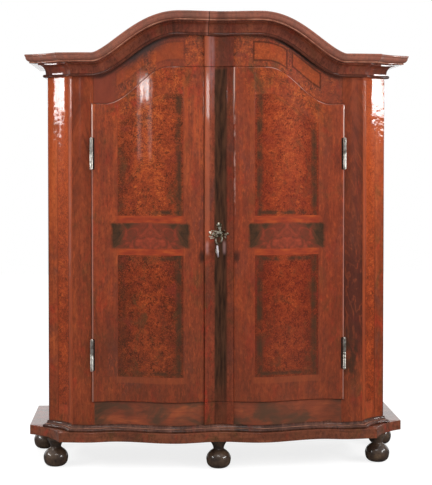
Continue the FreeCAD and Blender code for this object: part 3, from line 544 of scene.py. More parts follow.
class Tree:
    """A node tree of a material, a world or a Geometry Nodes group."""

    def __init__(self, owner: Any, coordinates: str = "") -> None:
        """Empty an owner's tree and split its texture coordinates into x, y and z.

        Args:
            owner: the material, world or node group.
            coordinates: which texture coordinates to read, if any.
        """
        self.owner = owner
        group = getattr(owner, "node_tree", owner)
        self.nodes, self.links = group.nodes, group.links
        self.nodes.clear()
        if coordinates:
            self.place = self.get("ShaderNodeTexCoord", coordinates)
            self.x, self.y, self.z = self.split(self.place)

    @classmethod
    def material(cls, name: str) -> Tree:
        """The tree of a new material that reads object coordinates.

        Args:
            name: the material's name.

        Returns:
            The tree.
        """
        owner = bpy.data.materials.new(name)
        owner.use_nodes = True
        return cls(owner, "Object")

    @staticmethod
    def find(sockets: Any, key: Union[str, int]) -> bpy.types.NodeSocket:
        """Find a socket.

        Args:
            sockets: a node's inputs or outputs.
            key: its index, identifier or name.

        Returns:
            The socket.
        """
        if isinstance(key, int):
            return sockets[key]
        return next((s for s in sockets if s.identifier == key), None) or sockets[key]

    def add(self, kind: str, settings: dict[str, Any] | None = None, inputs: dict[Any, Any] | None = None) -> Any:
        """Add a node.

        Args:
            kind: the node's type.
            settings: its settings, set first; "stops" are a ramp's (place, colour) pairs.
            inputs: values or terms of its sockets.

        Returns:
            The node.
        """
        node = self.nodes.new(kind)
        for key, value in (settings or {}).items():
            if key == "stops":
                ramp = node.color_ramp
                while len(ramp.elements) < len(value):
                    ramp.elements.new(1.0)
                for element, (place, colour) in zip(ramp.elements, value):
                    element.position, element.color = place, linear(colour)
            else:
                setattr(node, key, value)
        for key, value in (inputs or {}).items():
            self.feed(self.find(node.inputs, key), value)
        return node

    def get(self, kind: str, output: Union[str, int] = 0, settings: dict[str, Any] | None = None,
            inputs: dict[Any, Any] | None = None) -> Term:
        """Add a node and take one of its outputs.

        Args:
            kind: the node's type.
            output: index, identifier or name of the output.
            settings: its settings.
            inputs: values or terms of its sockets.

        Returns:
            The output.
        """
        return Term(self, self.find(self.add(kind, settings, inputs).outputs, output))

    def feed(self, socket: bpy.types.NodeSocket, value: Any) -> None:
        """Link a term to a socket, or set its value or colour.

        Args:
            socket: the input.
            value: a term, a number, a data block or a colour.
        """
        if isinstance(value, Term):
            self.links.new(value.socket, socket)
        else:
            socket.default_value = linear(value) if isinstance(value, tuple) else value

    def math(self, operation: str, *operands: Any) -> Term:
        """One sum on values."""
        return self.get("ShaderNodeMath", 0, {"operation": operation}, dict(enumerate(operands)))

    def vector(self, x: Any = 0.0, y: Any = 0.0, z: Any = 0.0) -> Term:
        """A vector from three values."""
        return self.get("ShaderNodeCombineXYZ", 0, {}, {"X": x, "Y": y, "Z": z})

    def split(self, vector: Term) -> list[Term]:
        """The three values of a vector."""
        outputs = self.add("ShaderNodeSeparateXYZ", {}, {"Vector": vector}).outputs
        return [Term(self, output) for output in outputs]

    def axes(self, grain: Grain) -> list[Term]:
        """Distances along, across and through wood of a grain."""
        return [getattr(self, axis) for axis in grain.value]

    def noise(self, vector: Term, scale: float, detail: float = 3.0, rough: float = 0.55, bend: float = 0.0) -> Term:
        """Fractal noise about 0.5."""
        inputs = {"Vector": vector, "Scale": scale, "Detail": detail, "Roughness": rough, "Distortion": bend}
        return self.get("ShaderNodeTexNoise", 0, {}, inputs)

    def figure(self, across: float, up: float, lift: float, *noise: float) -> Term:
        """Noise on the front, with its own scales across and up and a depth that tells it from others."""
        return self.noise(self.vector(self.x * across, lift, self.z * up), 1.0, *noise)

    def strands(self, axes: Sequence[Term], wide: float, long: float, *noise: float) -> Term:
        """Noise with one scale across and through the wood and another along it."""
        along, across, depth = axes
        return self.noise(self.vector(across * wide, depth * wide, along * long), 1.0, *noise)

    def curls(self, lift: float, scale: float, turns: float, *noise: float) -> Term:
        """Waves from -1 to 1 that follow the levels of a noise on the front."""
        return (self.noise(self.vector(self.x, lift, self.z), scale, *noise) * turns).sin()

    def cells(self, vector: Term, scale: float) -> Term:
        """Distance to the nearest of scattered points."""
        return self.get("ShaderNodeTexVoronoi", "Distance", {"feature": "F1"}, {"Vector": vector, "Scale": scale})

    def chance(self, number: Term) -> Term:
        """A random value for each whole number."""
        return self.get("ShaderNodeTexWhiteNoise", "Value", {"noise_dimensions": "1D"}, {"W": number})

    def ray(self, kind: str) -> Term:
        """1 on rays of a kind."""
        return self.get("ShaderNodeLightPath", f"Is {kind} Ray")

    def mix(self, share: Any, first: Any, second: Any) -> Term:
        """A colour between two.

        Args:
            share: share of the second.
            first: a colour.
            second: another one.

        Returns:
            The colour.
        """
        settings = {"data_type": "RGBA", "blend_type": "MIX", "clamp_factor": True}
        inputs = {"Factor_Float": share, "A_Color": first, "B_Color": second}
        return self.get("ShaderNodeMix", "Result_Color", settings, inputs)

    def over(self, colour: Any, *layers: tuple[Any, Any]) -> Any:
        """A colour under layers.

        Args:
            colour: the lowest.
            layers: (share, colour) pairs, laid in order.

        Returns:
            The colour.
        """
        for share, layer in layers:
            colour = self.mix(share, colour, layer)
        return colour

    def ramp(self, share: Any, stops: Sequence[tuple[float, Colour]]) -> Term:
        """A colour from a ramp."""
        return self.get("ShaderNodeValToRGB", "Color", {"stops": stops}, {"Fac": share})


# ---------------------------------------------------------------- finishes
@dataclass(frozen=True)
class Look:
    """What varies over a surface: colour, roughness, height in metres and share of the polish."""

    colour: Any
    roughness: Any
    height: Any
    metallic: float = 0.0
    polish: Any = None


@dataclass(frozen=True)
class Finish:
    """A finish; each kind says how it looks."""

    name: str
    specular: float = 0.25
    polish: float = 0.0
    polish_roughness: float = 0.06

    def look(self, tree: Tree) -> Look:
        """Lay out the nodes of this finish.

        Args:
            tree: the tree.

        Returns:
            The look.
        """
        raise NotImplementedError

    def material(self) -> bpy.types.Material:
        """The finish's material, made once."""
        known = bpy.data.materials.get(self.name)
        if known:
            return known
        tree = Tree.material(self.name)
        look = self.look(tree)
        bump = tree.get("ShaderNodeBump", "Normal", {}, {"Height": look.height, "Distance": 1.0, "Strength": 1.0})
        inputs = {
            "Base Color": look.colour, "Roughness": look.roughness, "Metallic": look.metallic,
            "Specular IOR Level": self.specular, "Coat Roughness": self.polish_roughness,
            "Coat Weight": self.polish if look.polish is None else look.polish * self.polish, "Normal": bump,
        }
        if self.polish:
            inputs["Coat Normal"] = bump
        shader = tree.get("ShaderNodeBsdfPrincipled", 0, {}, inputs)
        tree.add("ShaderNodeOutputMaterial", {}, {"Surface": shader})
        return tree.owner


@dataclass(frozen=True)
class Wood(Finish):
    """Plain polished or bare wood."""

    deep: Colour = (88, 40, 24)
    middle: Colour = (132, 59, 33)
    pale: Colour = (172, 84, 42)
    grain: Grain = Grain.UP
    gloss: float = 0.34
    ripple: float = 0.00022
    moss: Colour = (88, 58, 32)
    cherry: Colour = (154, 44, 28)
    slate: Colour = (86, 54, 46)
    # a thin pale haze laid over the polished wood
    pale_haze: Colour = (206, 150, 122)
    mottle: float = 1.0

    def fibres(self, tree: Tree, axes: Sequence[Term], tone: Any = 0.5) -> tuple[Term, Term]:
        """Colour and pore height of straight fibres.

        Args:
            tree: the tree.
            axes: distances along, across and through the wood.
            tone: 0 to 1, shifts the colour from deep to pale.

        Returns:
            The colour and the height of the pores.
        """
        cloud = tree.strands(axes, 9.0, 2.4, 4.0, 0.58, 0.8)
        streak = tree.strands(axes, 85.0, 4.5, 3.0, 0.6, 0.3)
        speck = tree.strands(axes, 420.0, 24.0, 2.0, 0.5).rise(0.62, 0.74)
        share = (cloud - 0.5) * 1.7 + (streak - 0.5) * 0.8 + tone
        colour = tree.ramp(share, ((0.0, self.deep), (0.5, self.middle), (1.0, self.pale)))
        return tree.mix(speck * 0.3, colour, self.deep), speck * -0.000012

    def cloud(self, tree: Tree, scale: float, offset: float) -> Term:
        """Ragged clouds, a little taller than wide, scaled by the finish's mottling."""
        place = tree.vector(tree.x * scale, tree.y * scale + offset, tree.z * (scale * 0.6))
        return tree.noise(place, 1.0, 6.0, 0.68, 0.7).rise(0.51, 0.71) * self.mottle

    def aged(self, tree: Tree, colour: Term) -> Term:
        """Old varnish clouds of moss, slate and cherry red over a colour, and fine flecks.

        Args:
            tree: the tree.
            colour: the wood's colour.

        Returns:
            The colour.
        """
        fleck = tree.strands(tree.axes(Grain.UP), 80.0, 50.0, 4.0, 0.7, 0.6)
        wisp = tree.noise(tree.vector(tree.x * 13.0, tree.y * 13.0, tree.z * 8.0 + 3.0), 1.0, 6.0, 0.7, 2.4)
        return tree.over(
            colour, (self.cloud(tree, 9.0, 4.0), self.moss), (self.cloud(tree, 13.0, 9.0) * 0.8, self.cherry),
            (self.cloud(tree, 7.0, 15.0) * 0.8, self.slate), (fleck.rise(0.46, 0.70) * 0.70, self.deep),
            (fleck.rise(0.50, 0.28) * 0.30, self.pale),
            (wisp.band(0.485, 0.515, 0.02) * 0.35 * self.mottle, self.deep))

    def flecked(self, tree: Tree, colour: Term) -> Term:
        """Short dark and pale flecks along the grain, over a colour.

        Args:
            tree: the tree.
            colour: the wood's colour.

        Returns:
            The colour.
        """
        fleck = tree.figure(120.0, 30.0, 9.0, 4.0, 0.66, 0.8)
        patchy = tree.figure(11.0, 6.0, 3.0, 4.0, 0.6, 0.8)
        return tree.over(
            colour, (fleck.rise(0.50, 0.66) * (patchy.rise(0.40, 0.60) * 0.40 + 0.14), (70, 34, 24)),
            (fleck.rise(0.48, 0.34) * (patchy.rise(0.60, 0.40) * 0.35 + 0.10), (192, 86, 44)),
            (patchy.rise(0.52, 0.68) * 0.34, (84, 44, 34)))

    def seen(self, tree: Tree, colour: Term, pores: Term, relief: Any = None, polish: Any = None,
             blotch: Pair = (26.0, 0.10)) -> Look:
        """The look of a colour with the finish's gloss and the slow waves of hand-laid veneer.

        Args:
            tree: the tree.
            colour: the colour.
            pores: height of the pores.
            relief: height of anything else.
            polish: share of the polish.
            blotch: scale and depth of the unevenness of the gloss.

        Returns:
            The look.
        """
        scale, depth = blotch
        height = pores + (tree.noise(tree.place, 11.0, 2.0, 0.5) - 0.5) * self.ripple
        height = height if relief is None else height + relief
        return Look(colour, tree.noise(tree.place, scale) * depth + self.gloss, height, polish=polish)

    def look(self, tree: Tree) -> Look:
        """Straight fibres in the grain's direction.

        Args:
            tree: the tree.

        Returns:
            The look.
        """
        colour, pores = self.fibres(tree, tree.axes(self.grain))
        return self.seen(tree, self.aged(tree, colour) if self.polish else colour, pores, blotch=(30.0, 0.08))


def burl(tree: Tree, half: Term, share: Any, fine: float = 1.0) -> Term:
    """Orange burl veneer with dark squiggles and pale flecks.

    Args:
        tree: the tree.
        half: distance from the middle of the case, so that both sides match.
        share: shift of the tone.
        fine: size of the figure, 1 being usual.

    Returns:
        The colour.
    """
    place = tree.vector(half, tree.y, tree.z)
    grain = tree.noise(place, 95.0 * fine, 5.0, 0.72, 1.6)
    cloud = tree.noise(place, 17.0 * fine, 5.0, 0.64, 0.9)
    colour = tree.ramp(grain * 1.5 + cloud * 0.8 - 0.69 + share, (
        (0.12, (78, 34, 18)), (0.34, (124, 48, 23)), (0.52, (157, 65, 30)), (0.70, (182, 86, 36)),
        (0.92, (204, 116, 58))))
    curls = (tree.noise(place, 30.0 * fine, 2.0, 0.5, 1.8) * 38.0).sin().rise(0.15, 0.85)
    knots = tree.cells(place, 62.0 * fine).rise(0.38, 0.16)
    broken = tree.noise(place, 26.0 * fine, 4.0, 0.64).rise(0.38, 0.60)
    return tree.mix(curls.most(knots) * broken * 0.85, colour, (56, 26, 15))


@dataclass(frozen=True)
class DoorVeneer(Wood):
    """Door fronts: banded fields of burl between plain veneered stiles."""

    field_middle: float = 0.330
    field_half: float = 0.157
    border: float = 0.137
    top_drop: Pair = (0.132, 0.109)
    levels: tuple[float, ...] = (0.449, 1.038, 1.069, 1.193, 1.228)

    def look(self, tree: Tree) -> Look:
        """Stiles, bandings, fields and the cross-grained middle panel.

        Args:
            tree: the tree.

        Returns:
            The look.
        """
        x, z, half = tree.x, tree.z, abs(tree.x)
        foot, lower_top, panel_foot, panel_top, upper_foot = self.levels
        side, arch, glow = abs(half - self.field_middle), PLAN.door_arch.shaded(half), z.rise(1.15, 1.85)
        frame, pores = self.fibres(tree, tree.axes(Grain.UP), 0.46 + glow * 0.10)
        drift = tree.figure(7.0, 3.0, 12.0, 5.0, 0.6, 1.0)
        streak = tree.figure(42.0, 2.6, 2.0, 4.0, 0.6, 0.6)
        frame = self.flecked(tree, tree.over(
            self.aged(tree, frame), (drift.rise(0.50, 0.70) * 0.32, self.deep),
            (x.rise(-0.01, 0.01) * 0.15, (156, 56, 30)), (streak.rise(0.50, 0.62) * 0.42, (104, 50, 34)),
            (streak.rise(0.46, 0.36) * (glow * 0.25 + 0.20), (176, 72, 36)), (glow * 0.02 + 0.012, self.pale_haze)))
        # orange veneer over the upper field
        crown = (z - arch).rise(-0.22, -0.05) * glow
        orange = self.aged(tree, burl(tree, half, 0.08, 0.6))
        frame = tree.over(frame, (0.12, (158, 54, 22)), (crown * side.rise(0.26, 0.15) * 0.85, orange))
        # fields
        share = (half - (self.field_middle - self.field_half)) * (0.5 / self.field_half)
        top = arch - (share * (self.top_drop[1] - self.top_drop[0]) + self.top_drop[0])
        upper = (z - upper_foot).rise(-0.001, 0.001) * (top - z).rise(-0.001, 0.004)
        lower = z.band(foot, lower_top, 0.002)
        inside = side.rise(self.field_half + 0.003, self.field_half - 0.003) * upper.most(lower)
        level = (z - upper_foot).least(top - z).most((z - foot).least(lower_top - z))
        centre = side.rise(0.13, 0.02) * 0.16 + z.rise(0.95, 1.35) * 0.10 + glow * 0.02 - 0.19
        cloud = tree.noise(tree.vector(x, 3.0, z), 9.0, 4.0, 0.64, 0.8)
        curl = tree.curls(8.0, 24.0, 40.0, 3.0, 0.55, 1.4)
        figured = tree.over(
            burl(tree, half, centre), (cloud.rise(0.50, 0.68) * (side.rise(0.03, 0.13) * 0.45 + 0.15), (124, 44, 34)),
            (self.cloud(tree, 16.0, 21.0) * 0.8, self.moss), (curl.rise(0.2, 0.95) * 0.30, (92, 36, 20)),
            (curl.rise(-0.4, -0.95) * glow * 0.22, (206, 104, 50)), (x.rise(-0.01, 0.01) * 0.20, (132, 26, 10)))
        # dark, broken border inside the field and a plain banding round it
        edge = self.border
        reach = side.rise(edge - 0.026, edge - 0.006) * side.rise(edge + 0.018, edge + 0.006)
        ends = level.rise(0.036, 0.018) * level.rise(0.002, 0.012) * side.rise(edge + 0.010, edge - 0.006)
        ends = ends * (abs(z - upper_foot).rise(0.09, 0.06).most(z.rise(1.06, 1.04)) * 0.6 + 0.4)
        patch = tree.figure(15.0, 11.0, 1.0, 5.0, 0.66).rise(0.34, 0.60)
        faint = 1.0 - x.rise(0.0, -0.01) * (half - self.field_middle).rise(-0.05, 0.05) * 0.6
        line = abs(side - edge).rise(0.0036, 0.0016) * level.rise(0.016, 0.020)
        line = line.most(abs(level - 0.019).rise(0.0034, 0.0014) * side.rise(edge + 0.002, edge))
        joint = abs(side - self.field_half).rise(0.0022, 0.0008) * level.rise(-0.001, 0.0)
        joint = joint.most(abs(level).rise(0.0022, 0.0008) * side.rise(self.field_half + 0.001, self.field_half))
        # pale band round the field
        banding = side.band(self.field_half + 0.002, self.field_half + 0.024, 0.002) * (arch - z).rise(0.060, 0.070)
        below = z.band(0.418, 0.448, 0.003) * side.rise(self.field_half + 0.02, self.field_half)
        # middle panel between two bright bands
        bands = z.band(panel_top, upper_foot, 0.001).most(z.band(lower_top, panel_foot, 0.001))
        bright = tree.ramp(tree.figure(14.0, 50.0, 0.0, 3.0), (
            (0.3, (126, 46, 30)), (0.5, (150, 60, 31)), (0.7, (170, 76, 35))))
        wander = (tree.figure(22.0, 22.0, 6.0, 4.0) - 0.5) * 0.024
        panel = (z + wander).band(panel_foot + 0.002, panel_top - 0.002, 0.008) * (side + wander).rise(0.198, 0.176)
        height = (z - (panel_foot + panel_top) / 2) * 17.0 + side * side * 40.0
        flame = tree.noise(tree.vector(side * 13.0, 0.0, height), 1.0, 5.0, 0.66, 1.4)
        crotch = tree.ramp(flame - side.rise(0.05, 0.19) * 0.30 + 0.05, (
            (0.16, (46, 38, 24)), (0.34, (78, 50, 32)), (0.50, (112, 50, 33)), (0.68, (150, 62, 40))))
        # darker towards the bottom of the leaf, laid last
        colour = tree.over(
            frame, (inside, figured), (reach.most(ends) * (patch * 0.80 + 0.04) * inside * faint, (66, 46, 28)),
            (line * inside * (patch * 0.25 + 0.05) * faint, (52, 30, 20)), (joint * 0.25, (50, 24, 16)),
            (banding * 0.15 * glow, (190, 92, 40)), (below * 0.35, (166, 80, 44)),
            (bands * side.rise(0.176, 0.140), bright), (panel * 0.94, crotch),
            (z.rise(1.0, 0.33) * 0.30, (76, 48, 30)))
        return self.seen(tree, self.painted_light_and_thumbing(tree, colour, half, arch), pores, line * -0.00003)

    def painted_light_and_thumbing(self, tree: Tree, colour: Term, half: Term, arch: Term) -> Term:
        """Painted highlights on the arrises, painted shadows beside the hinges and thumbed marks, over a colour.

        Args:
            tree: the tree.
            colour: the leaf's colour.
            half: distance from the middle of the case.
            arch: height of the doors' upper edge.

        Returns:
            The colour.
        """
        x, z = tree.x, tree.z
        # painted highlights along the arch's top arris, the hinge-side edge and the inner edge, in broken patches
        highlight_breakup = tree.figure(9.0, 9.0, 5.0, 4.0, 0.6)
        top = (arch - z).rise(0.0046, 0.0020) * half.band(0.20, 0.52, 0.03) * highlight_breakup.rise(0.36, 0.56) * 0.6
        outer = half.rise(0.6045, 0.6070) * z.rise(1.765, 1.760) * (z.rise(1.55, 1.58) * 0.7 + 0.28)
        spots = tree.figure(60.0, 14.0, 0.0, 5.0, 0.7).rise(0.46, 0.62)
        inner = x.band(0.068, 0.0765, 0.0012) * z.rise(1.70, 1.86)
        inner = inner.most(x.band(0.070, 0.080, 0.003) * z.band(1.26, 1.75, 0.05) * spots * 0.6)
        low, high = PLAN.hinge_heights
        # painted shadow beside the hinge knuckles; thumbed marks near the lock
        hinge = abs(z - low).least(abs(z - high)).rise(0.080, 0.074) * half.rise(0.596, 0.600)
        thumbed = abs(z - 1.030).rise(0.045, 0.006) * abs(half - 0.082).rise(0.026, 0.004)
        return tree.over(
            colour, (top.most(outer * 0.8).most(inner * 0.9), (214, 174, 160)),
            (hinge.most(thumbed * 0.75), (34, 24, 18)))


@dataclass(frozen=True)
class CaseVeneer(Wood):
    """Stiles, frieze and bottom rail: flame veneer with banded cartouches under the arch."""

    cartouches: tuple[tuple[float, ...], ...] = ((0.19, 0.84, 0.163, 0.332), (0.38, 0.88, 0.352, 0.500))

    def look(self, tree: Tree) -> Look:
        """Chevron flames on the stiles, cartouches on the frieze, dark crotch below the doors.

        Args:
            tree: the tree.

        Returns:
            The look.
        """
        x, z, half = tree.x, tree.z, abs(tree.x)
        stile, below = half.rise(0.6005, 0.6025), z.rise(0.329, 0.325)
        plain, pores = self.fibres(tree, tree.axes(Grain.UP), 0.36 + z.rise(1.2, 1.95) * 0.14)
        streak = tree.figure(50.0, 3.0, 2.0, 4.0, 0.6, 0.6).rise(0.50, 0.62)
        plain = tree.over(self.aged(tree, plain), (0.03, self.pale_haze), (streak * 0.35, (96, 46, 34)))
        flame = tree.noise(tree.vector(x * 16.0, 0.0, (z + abs(half - 0.655) * 1.8) * 8.0), 1.0, 5.0, 0.62, 1.2)
        figured = tree.ramp(flame, (
            (0.25, (78, 38, 26)), (0.45, (112, 49, 29)), (0.60, (138, 62, 35)), (0.80, (164, 82, 44))))
        vein = (tree.noise(tree.vector(x * 5.0, 0.0, z * 3.0 + half * 5.0), 1.0, 4.0, 0.6, 0.6) * 60.0).sin()
        gloom = stile * x.rise(0.0, 0.01) * z.band(0.56, 1.72, 0.12) * (z.rise(1.2, 0.9) * 0.30 + 0.35)
        gloom = gloom * (1.0 - vein.rise(0.3, 1.0) * 0.6)
        smudge = tree.figure(24.0, 12.0, 4.0, 4.0, 0.6).rise(0.36, 0.56)
        smudge = smudge * x.band(0.612, 0.690, 0.020) * z.band(0.42, 0.64, 0.08)
        colour = tree.over(
            self.flecked(tree, plain), (stile * (z.rise(0.9, 1.8) * 0.45 + 0.25), figured),
            (gloom * 1.15, (60, 32, 28)), (smudge * 0.75, (46, 38, 28)))
        colour = self.frieze(tree, colour, half, (stile, below))
        # bottom rail: level grain with large mossy patches
        level, _ = self.fibres(tree, tree.axes(Grain.ACROSS), 0.36)
        patches = tree.figure(5.0, 8.0, 3.0, 4.0, 0.6, 0.6).rise(0.42, 0.64)
        stain = x.rise(-0.50, -0.58).most(x.rise(0.44, 0.58) * 0.5) * patches.most(0.4)
        level = tree.over(level, (patches * 0.80, (66, 50, 34)), (0.10, (124, 102, 88)), (stain * 0.6, (52, 44, 30)))
        return self.seen(tree, tree.mix(below * (1.0 - stile), colour, level), pores, polish=1.0 - stile * 0.8)

    def frieze(self, tree: Tree, colour: Term, half: Term, bounds: tuple[Term, Term]) -> Term:
        """The colour with orange burl towards the frieze's middle, redder at its ends, and shadows.

        Args:
            tree: the tree.
            colour: the colour of the stiles.
            half: distance from the middle.
            bounds: 1 on the stiles, and 1 below the doors.

        Returns:
            The colour.
        """
        x, z, (stile, below) = tree.x, tree.z, bounds
        arch, door, left = PLAN.cornice_arch.shaded(half), PLAN.door_arch.shaded(half), x.rise(0.0, -0.01)
        across = (z - door) / (arch - door)
        plum = tree.mix(tree.figure(30.0, 8.0, 2.0, 4.0), (92, 44, 34), (146, 66, 44))
        frieze = tree.over(
            self.aged(tree, burl(tree, half, 0.02, 0.7)), (0.045, self.pale_haze),
            (half.rise(0.440, 0.530) * (left * 0.55 + 0.35), plum),
            (half.band(0.163, 0.300, 0.003) * left * 0.6, plum))
        colour = tree.mix((1.0 - stile) * (1.0 - below), colour, frieze)
        for low, high, start, end in self.cartouches:
            place = half + (tree.noise(tree.vector(x, 0.0, z), 40.0, 2.0) - 0.5) * 0.006
            whole = place.band(start, end, 0.002) * across.band(low, high, 0.02)
            inner = place.band(start + 0.008, end - 0.008, 0.002) * across.band(low + 0.06, high - 0.06, 0.02)
            scrolls = tree.curls(7.0, 15.0, 44.0, 2.0, 0.5, 0.9).rise(0.70, 0.98)
            panel = tree.over(frieze, (scrolls * 0.45, (98, 40, 22)), (0.35, (182, 80, 30)))
            colour = tree.over(
                colour, (whole * (0.75 - left * 0.50), (74, 34, 20)), (inner * (0.90 - left * 0.2), panel))
        seam = abs(half - 0.6015).rise(0.0024, 0.0008) * (1.0 - below)
        return tree.over(
            colour, (seam * 0.5, (66, 32, 22)),
            ((arch - z).rise(0.024, 0.004) * half.band(0.16, 0.60, 0.03) * 0.7, (48, 32, 26)),
            ((arch - z).rise(0.070, 0.012) * x.band(-0.45, -0.27, 0.05) * 0.85, (62, 52, 50)),
            ((arch - z).rise(0.020, 0.007) * x.band(0.29, 0.47, 0.03) * 0.85, (36, 27, 24)))


@dataclass(frozen=True)
class CantVeneer(Wood):
    """Hollow corners: an inlaid panel of burl between a broad and a narrow band."""

    def look(self, tree: Tree) -> Look:
        """Bands set out across the hollow, panel ends above the base.

        Args:
            tree: the tree.

        Returns:
            The look.
        """
        x, z = tree.x, tree.z
        share = (abs(x) - PLAN.half_front) * (1.0 / (PLAN.half_width - PLAN.half_front))
        glow = z.rise(0.7, 1.8)
        plain, pores = self.fibres(tree, tree.axes(Grain.UP), 0.50 + glow * 0.26)
        panel = share.band(0.18, 0.60, 0.008) * z.band(0.300, 1.890, 0.002)
        drops = tree.cells(tree.vector(share * 0.30, 4.0, z * 0.55), 150.0).rise(0.50, 0.22)
        drops = drops * tree.noise(tree.place, 30.0, 3.0).rise(0.40, 0.56) * share.band(0.22, 0.52, 0.03)
        blotch = share.band(0.20, 0.58, 0.02) * z.band(0.252, 0.292, 0.006)
        line = abs(share - 0.62).rise(0.026, 0.014).most(abs(share - 0.17).rise(0.018, 0.008))
        figure = (tree.noise(tree.vector(share * 0.5, 6.0, z), 26.0, 3.0, 0.55, 1.2) * 44.0).sin().rise(0.3, 0.95)
        colour = tree.over(
            self.aged(tree, plain), (share.rise(0.17, 0.155) * 0.45, (158, 70, 38)),
            (panel * 0.9, burl(tree, abs(x), glow * 0.10 - 0.05, 0.9)), (drops * glow * 0.7, (92, 38, 16)),
            (blotch * 0.2, (172, 66, 40)), (line * 0.6 * z.band(0.250, 1.890, 0.002), (74, 30, 18)),
            (share.rise(0.965, 0.985) * 0.8, (44, 26, 20)),
            ((glow * 0.85 + 0.15) * share.rise(0.12, 0.2) * 0.32, (202, 82, 4)),
            (figure * (panel * 0.30 + 0.12), (96, 38, 18)))
        relief = (tree.noise(tree.place, 22.0, 4.0, 0.62) - 0.5) * 0.0012
        polish = x.rise(0.0, -0.01).most(z.rise(1.50, 1.66)) * 0.6 + 0.4
        return self.seen(tree, colour, pores, relief, polish)


@dataclass(frozen=True)
class MouldingWood(Wood):
    """Mouldings in short lengths of cross-grained veneer; the sweep attribute holds length and height."""

    length: float = 0.150
    # switches on a painted sheen and highlight at the crown, with the middle joint and stain
    middle_joint_and_sheen: bool = False
    bead: Pair = (0.0, 0.0)
    # height band of a painted highlight line
    fillet_highlight: Pair = (0.0, 0.0)

    def look(self, tree: Tree) -> Look:
        """Fibres square to the moulding, a slightly different tone in each length.

        Args:
            tree: the tree.

        Returns:
            The look.
        """
        along, up, _ = tree.split(tree.get("ShaderNodeAttribute", "Vector", {"attribute_name": "sweep"}))
        number = tree.math("FLOOR", along * (1.0 / self.length) + 0.36)
        tone = (tree.chance(number) - 0.5) * 0.30 + 0.5
        colour, pores = self.fibres(tree, (up, along, tree.y * 0.2), tone)
        joint = abs(along * (1.0 / self.length) + 0.36 - number - 0.5)
        colour = tree.over(self.aged(tree, colour), (joint.rise(0.490, 0.497) * 0.6, self.deep))
        if self.bead[1]:
            colour = tree.mix(up.band(*self.bead, 0.0008) * 0.6, colour, (46, 28, 22))
        # painted highlight along the fillet, broken along its length
        highlight_breakup = tree.noise(tree.vector(along * 12.0, 0.0, 0.0), 1.0, 4.0, 0.6).rise(0.34, 0.60)
        colour = tree.mix(up.band(*self.fillet_highlight, 0.0006) * (highlight_breakup * 0.60 + 0.08), colour, (200, 144, 120))
        # painted sheen on the upper member, a dark stain over the middle, a painted highlight left of the joint and
        # the dark joint line
        if self.middle_joint_and_sheen:
            colour = tree.over(
                colour, (up.rise(0.071, 0.076) * 0.28, (176, 128, 112)),
                (tree.x.band(-0.012, 0.030, 0.014) * 0.45, (52, 36, 30)),
                (tree.x.band(-0.062, -0.054, 0.004) * 0.15, (206, 160, 150)),
                (abs(tree.x + 0.050).rise(0.0026, 0.0012) * 0.8, (44, 28, 24)))
        return self.seen(tree, colour, pores, blotch=(24.0, 0.12))


@dataclass(frozen=True)
class StripWood(Wood):
    """The dark hollow strip with red-brown sides."""

    def look(self, tree: Tree) -> Look:
        """Dark middle that fades to red-brown at the fillets.

        Args:
            tree: the tree.

        Returns:
            The look.
        """
        x, z = tree.x, tree.z
        colour, pores = self.fibres(tree, tree.axes(Grain.UP))
        grain = tree.figure(60.0, 9.0, 0.0, 4.0)
        dark = tree.mix(grain.rise(0.3, 0.7), (34, 26, 18), (80, 50, 34))
        place = x - 0.008 + (tree.noise(tree.vector(0.0, 0.0, z), 9.0, 4.0, 0.6) - 0.5) * 0.016
        shade = place.rise(-0.034, -0.024) * place.rise(0.036, 0.026)
        # painted reflections: lavender streaks on the upper left flank, and pale patches on the fillet and flank
        # beside the key
        lavender = z.rise(1.66, 1.90) * x.band(-0.052, -0.022, 0.008) * grain.rise(0.25, 0.6)
        sheen = x.band(-0.064, -0.050, 0.006).most(x.band(0.020, 0.032, 0.006)) * z.band(1.046, 1.100, 0.014)
        colour = tree.over(
            self.aged(tree, colour), (shade * (z.rise(1.955, 1.925) * (z.rise(0.30, 0.45) * 0.35 + 0.60)), dark),
            (z.rise(1.93, 1.95) * x.band(-0.008, 0.026, 0.012) * 0.5, (66, 40, 30)),
            (lavender * 0.45, (150, 116, 116)), (x.rise(-0.040, -0.050) * z.rise(0.9, 1.2) * 0.45, (176, 90, 58)),
            (x.rise(0.026, 0.038) * 0.35, self.deep), (sheen * 0.38, (196, 150, 146)))
        return self.seen(tree, colour, pores, polish=z.band(1.950, 2.036, 0.012) * 0.75 + 0.25, blotch=(24.0, 0.10))


@dataclass(frozen=True)
class Boards(Wood):
    """Bare boards side by side, each with its own figure."""

    deep: Colour = (118, 80, 44)
    middle: Colour = (166, 122, 74)
    pale: Colour = (200, 160, 108)
    gloss: float = 0.58
    width: float = 0.27
    start: float = 0.0

    def look(self, tree: Tree) -> Look:
        """Flat-sawn figure, a few knots and open joints.

        Args:
            tree: the tree.

        Returns:
            The look.
        """
        along, across, depth = axes = tree.axes(self.grain)
        board = (across - self.start) * (1.0 / self.width)
        number = tree.math("FLOOR", board)
        chance = tree.chance(number)
        shift = chance * 9.0
        place = tree.vector(across * 6.0 + shift, depth * 6.0, along * 0.8 + shift)
        rings = (tree.noise(place, 1.0, 2.0, 0.5, 0.4) * 44.0 + across * 150.0).sin()
        streak = tree.strands(axes, 150.0, 5.0, 3.0, 0.6)
        tone = rings * 0.13 + (chance - 0.5) * 0.30 + (streak - 0.5) * 0.7 + 0.55
        colour = tree.ramp(tone, ((0.0, self.deep), (0.5, self.middle), (1.0, self.pale)))
        knot = tree.cells(tree.vector(across * 7.0 + shift, 0.0, along * 2.6 + shift), 1.0)
        stain = tree.strands(tree.axes(Grain.UP), 3.0, 3.0, 4.0, 0.6).rise(0.45, 0.70)
        joint = abs(board - number - 0.5).rise(0.5 - 0.0022 / self.width, 0.5 - 0.0008 / self.width)
        colour = tree.over(
            colour, (knot.rise(0.13, 0.05) * 0.8, (92, 56, 30)), (stain * 0.30, (104, 76, 48)),
            (joint * 0.85, (40, 28, 18)))
        return Look(colour, streak * 0.1 + self.gloss, (streak - 0.5) * 0.00012 - joint * 0.0006)


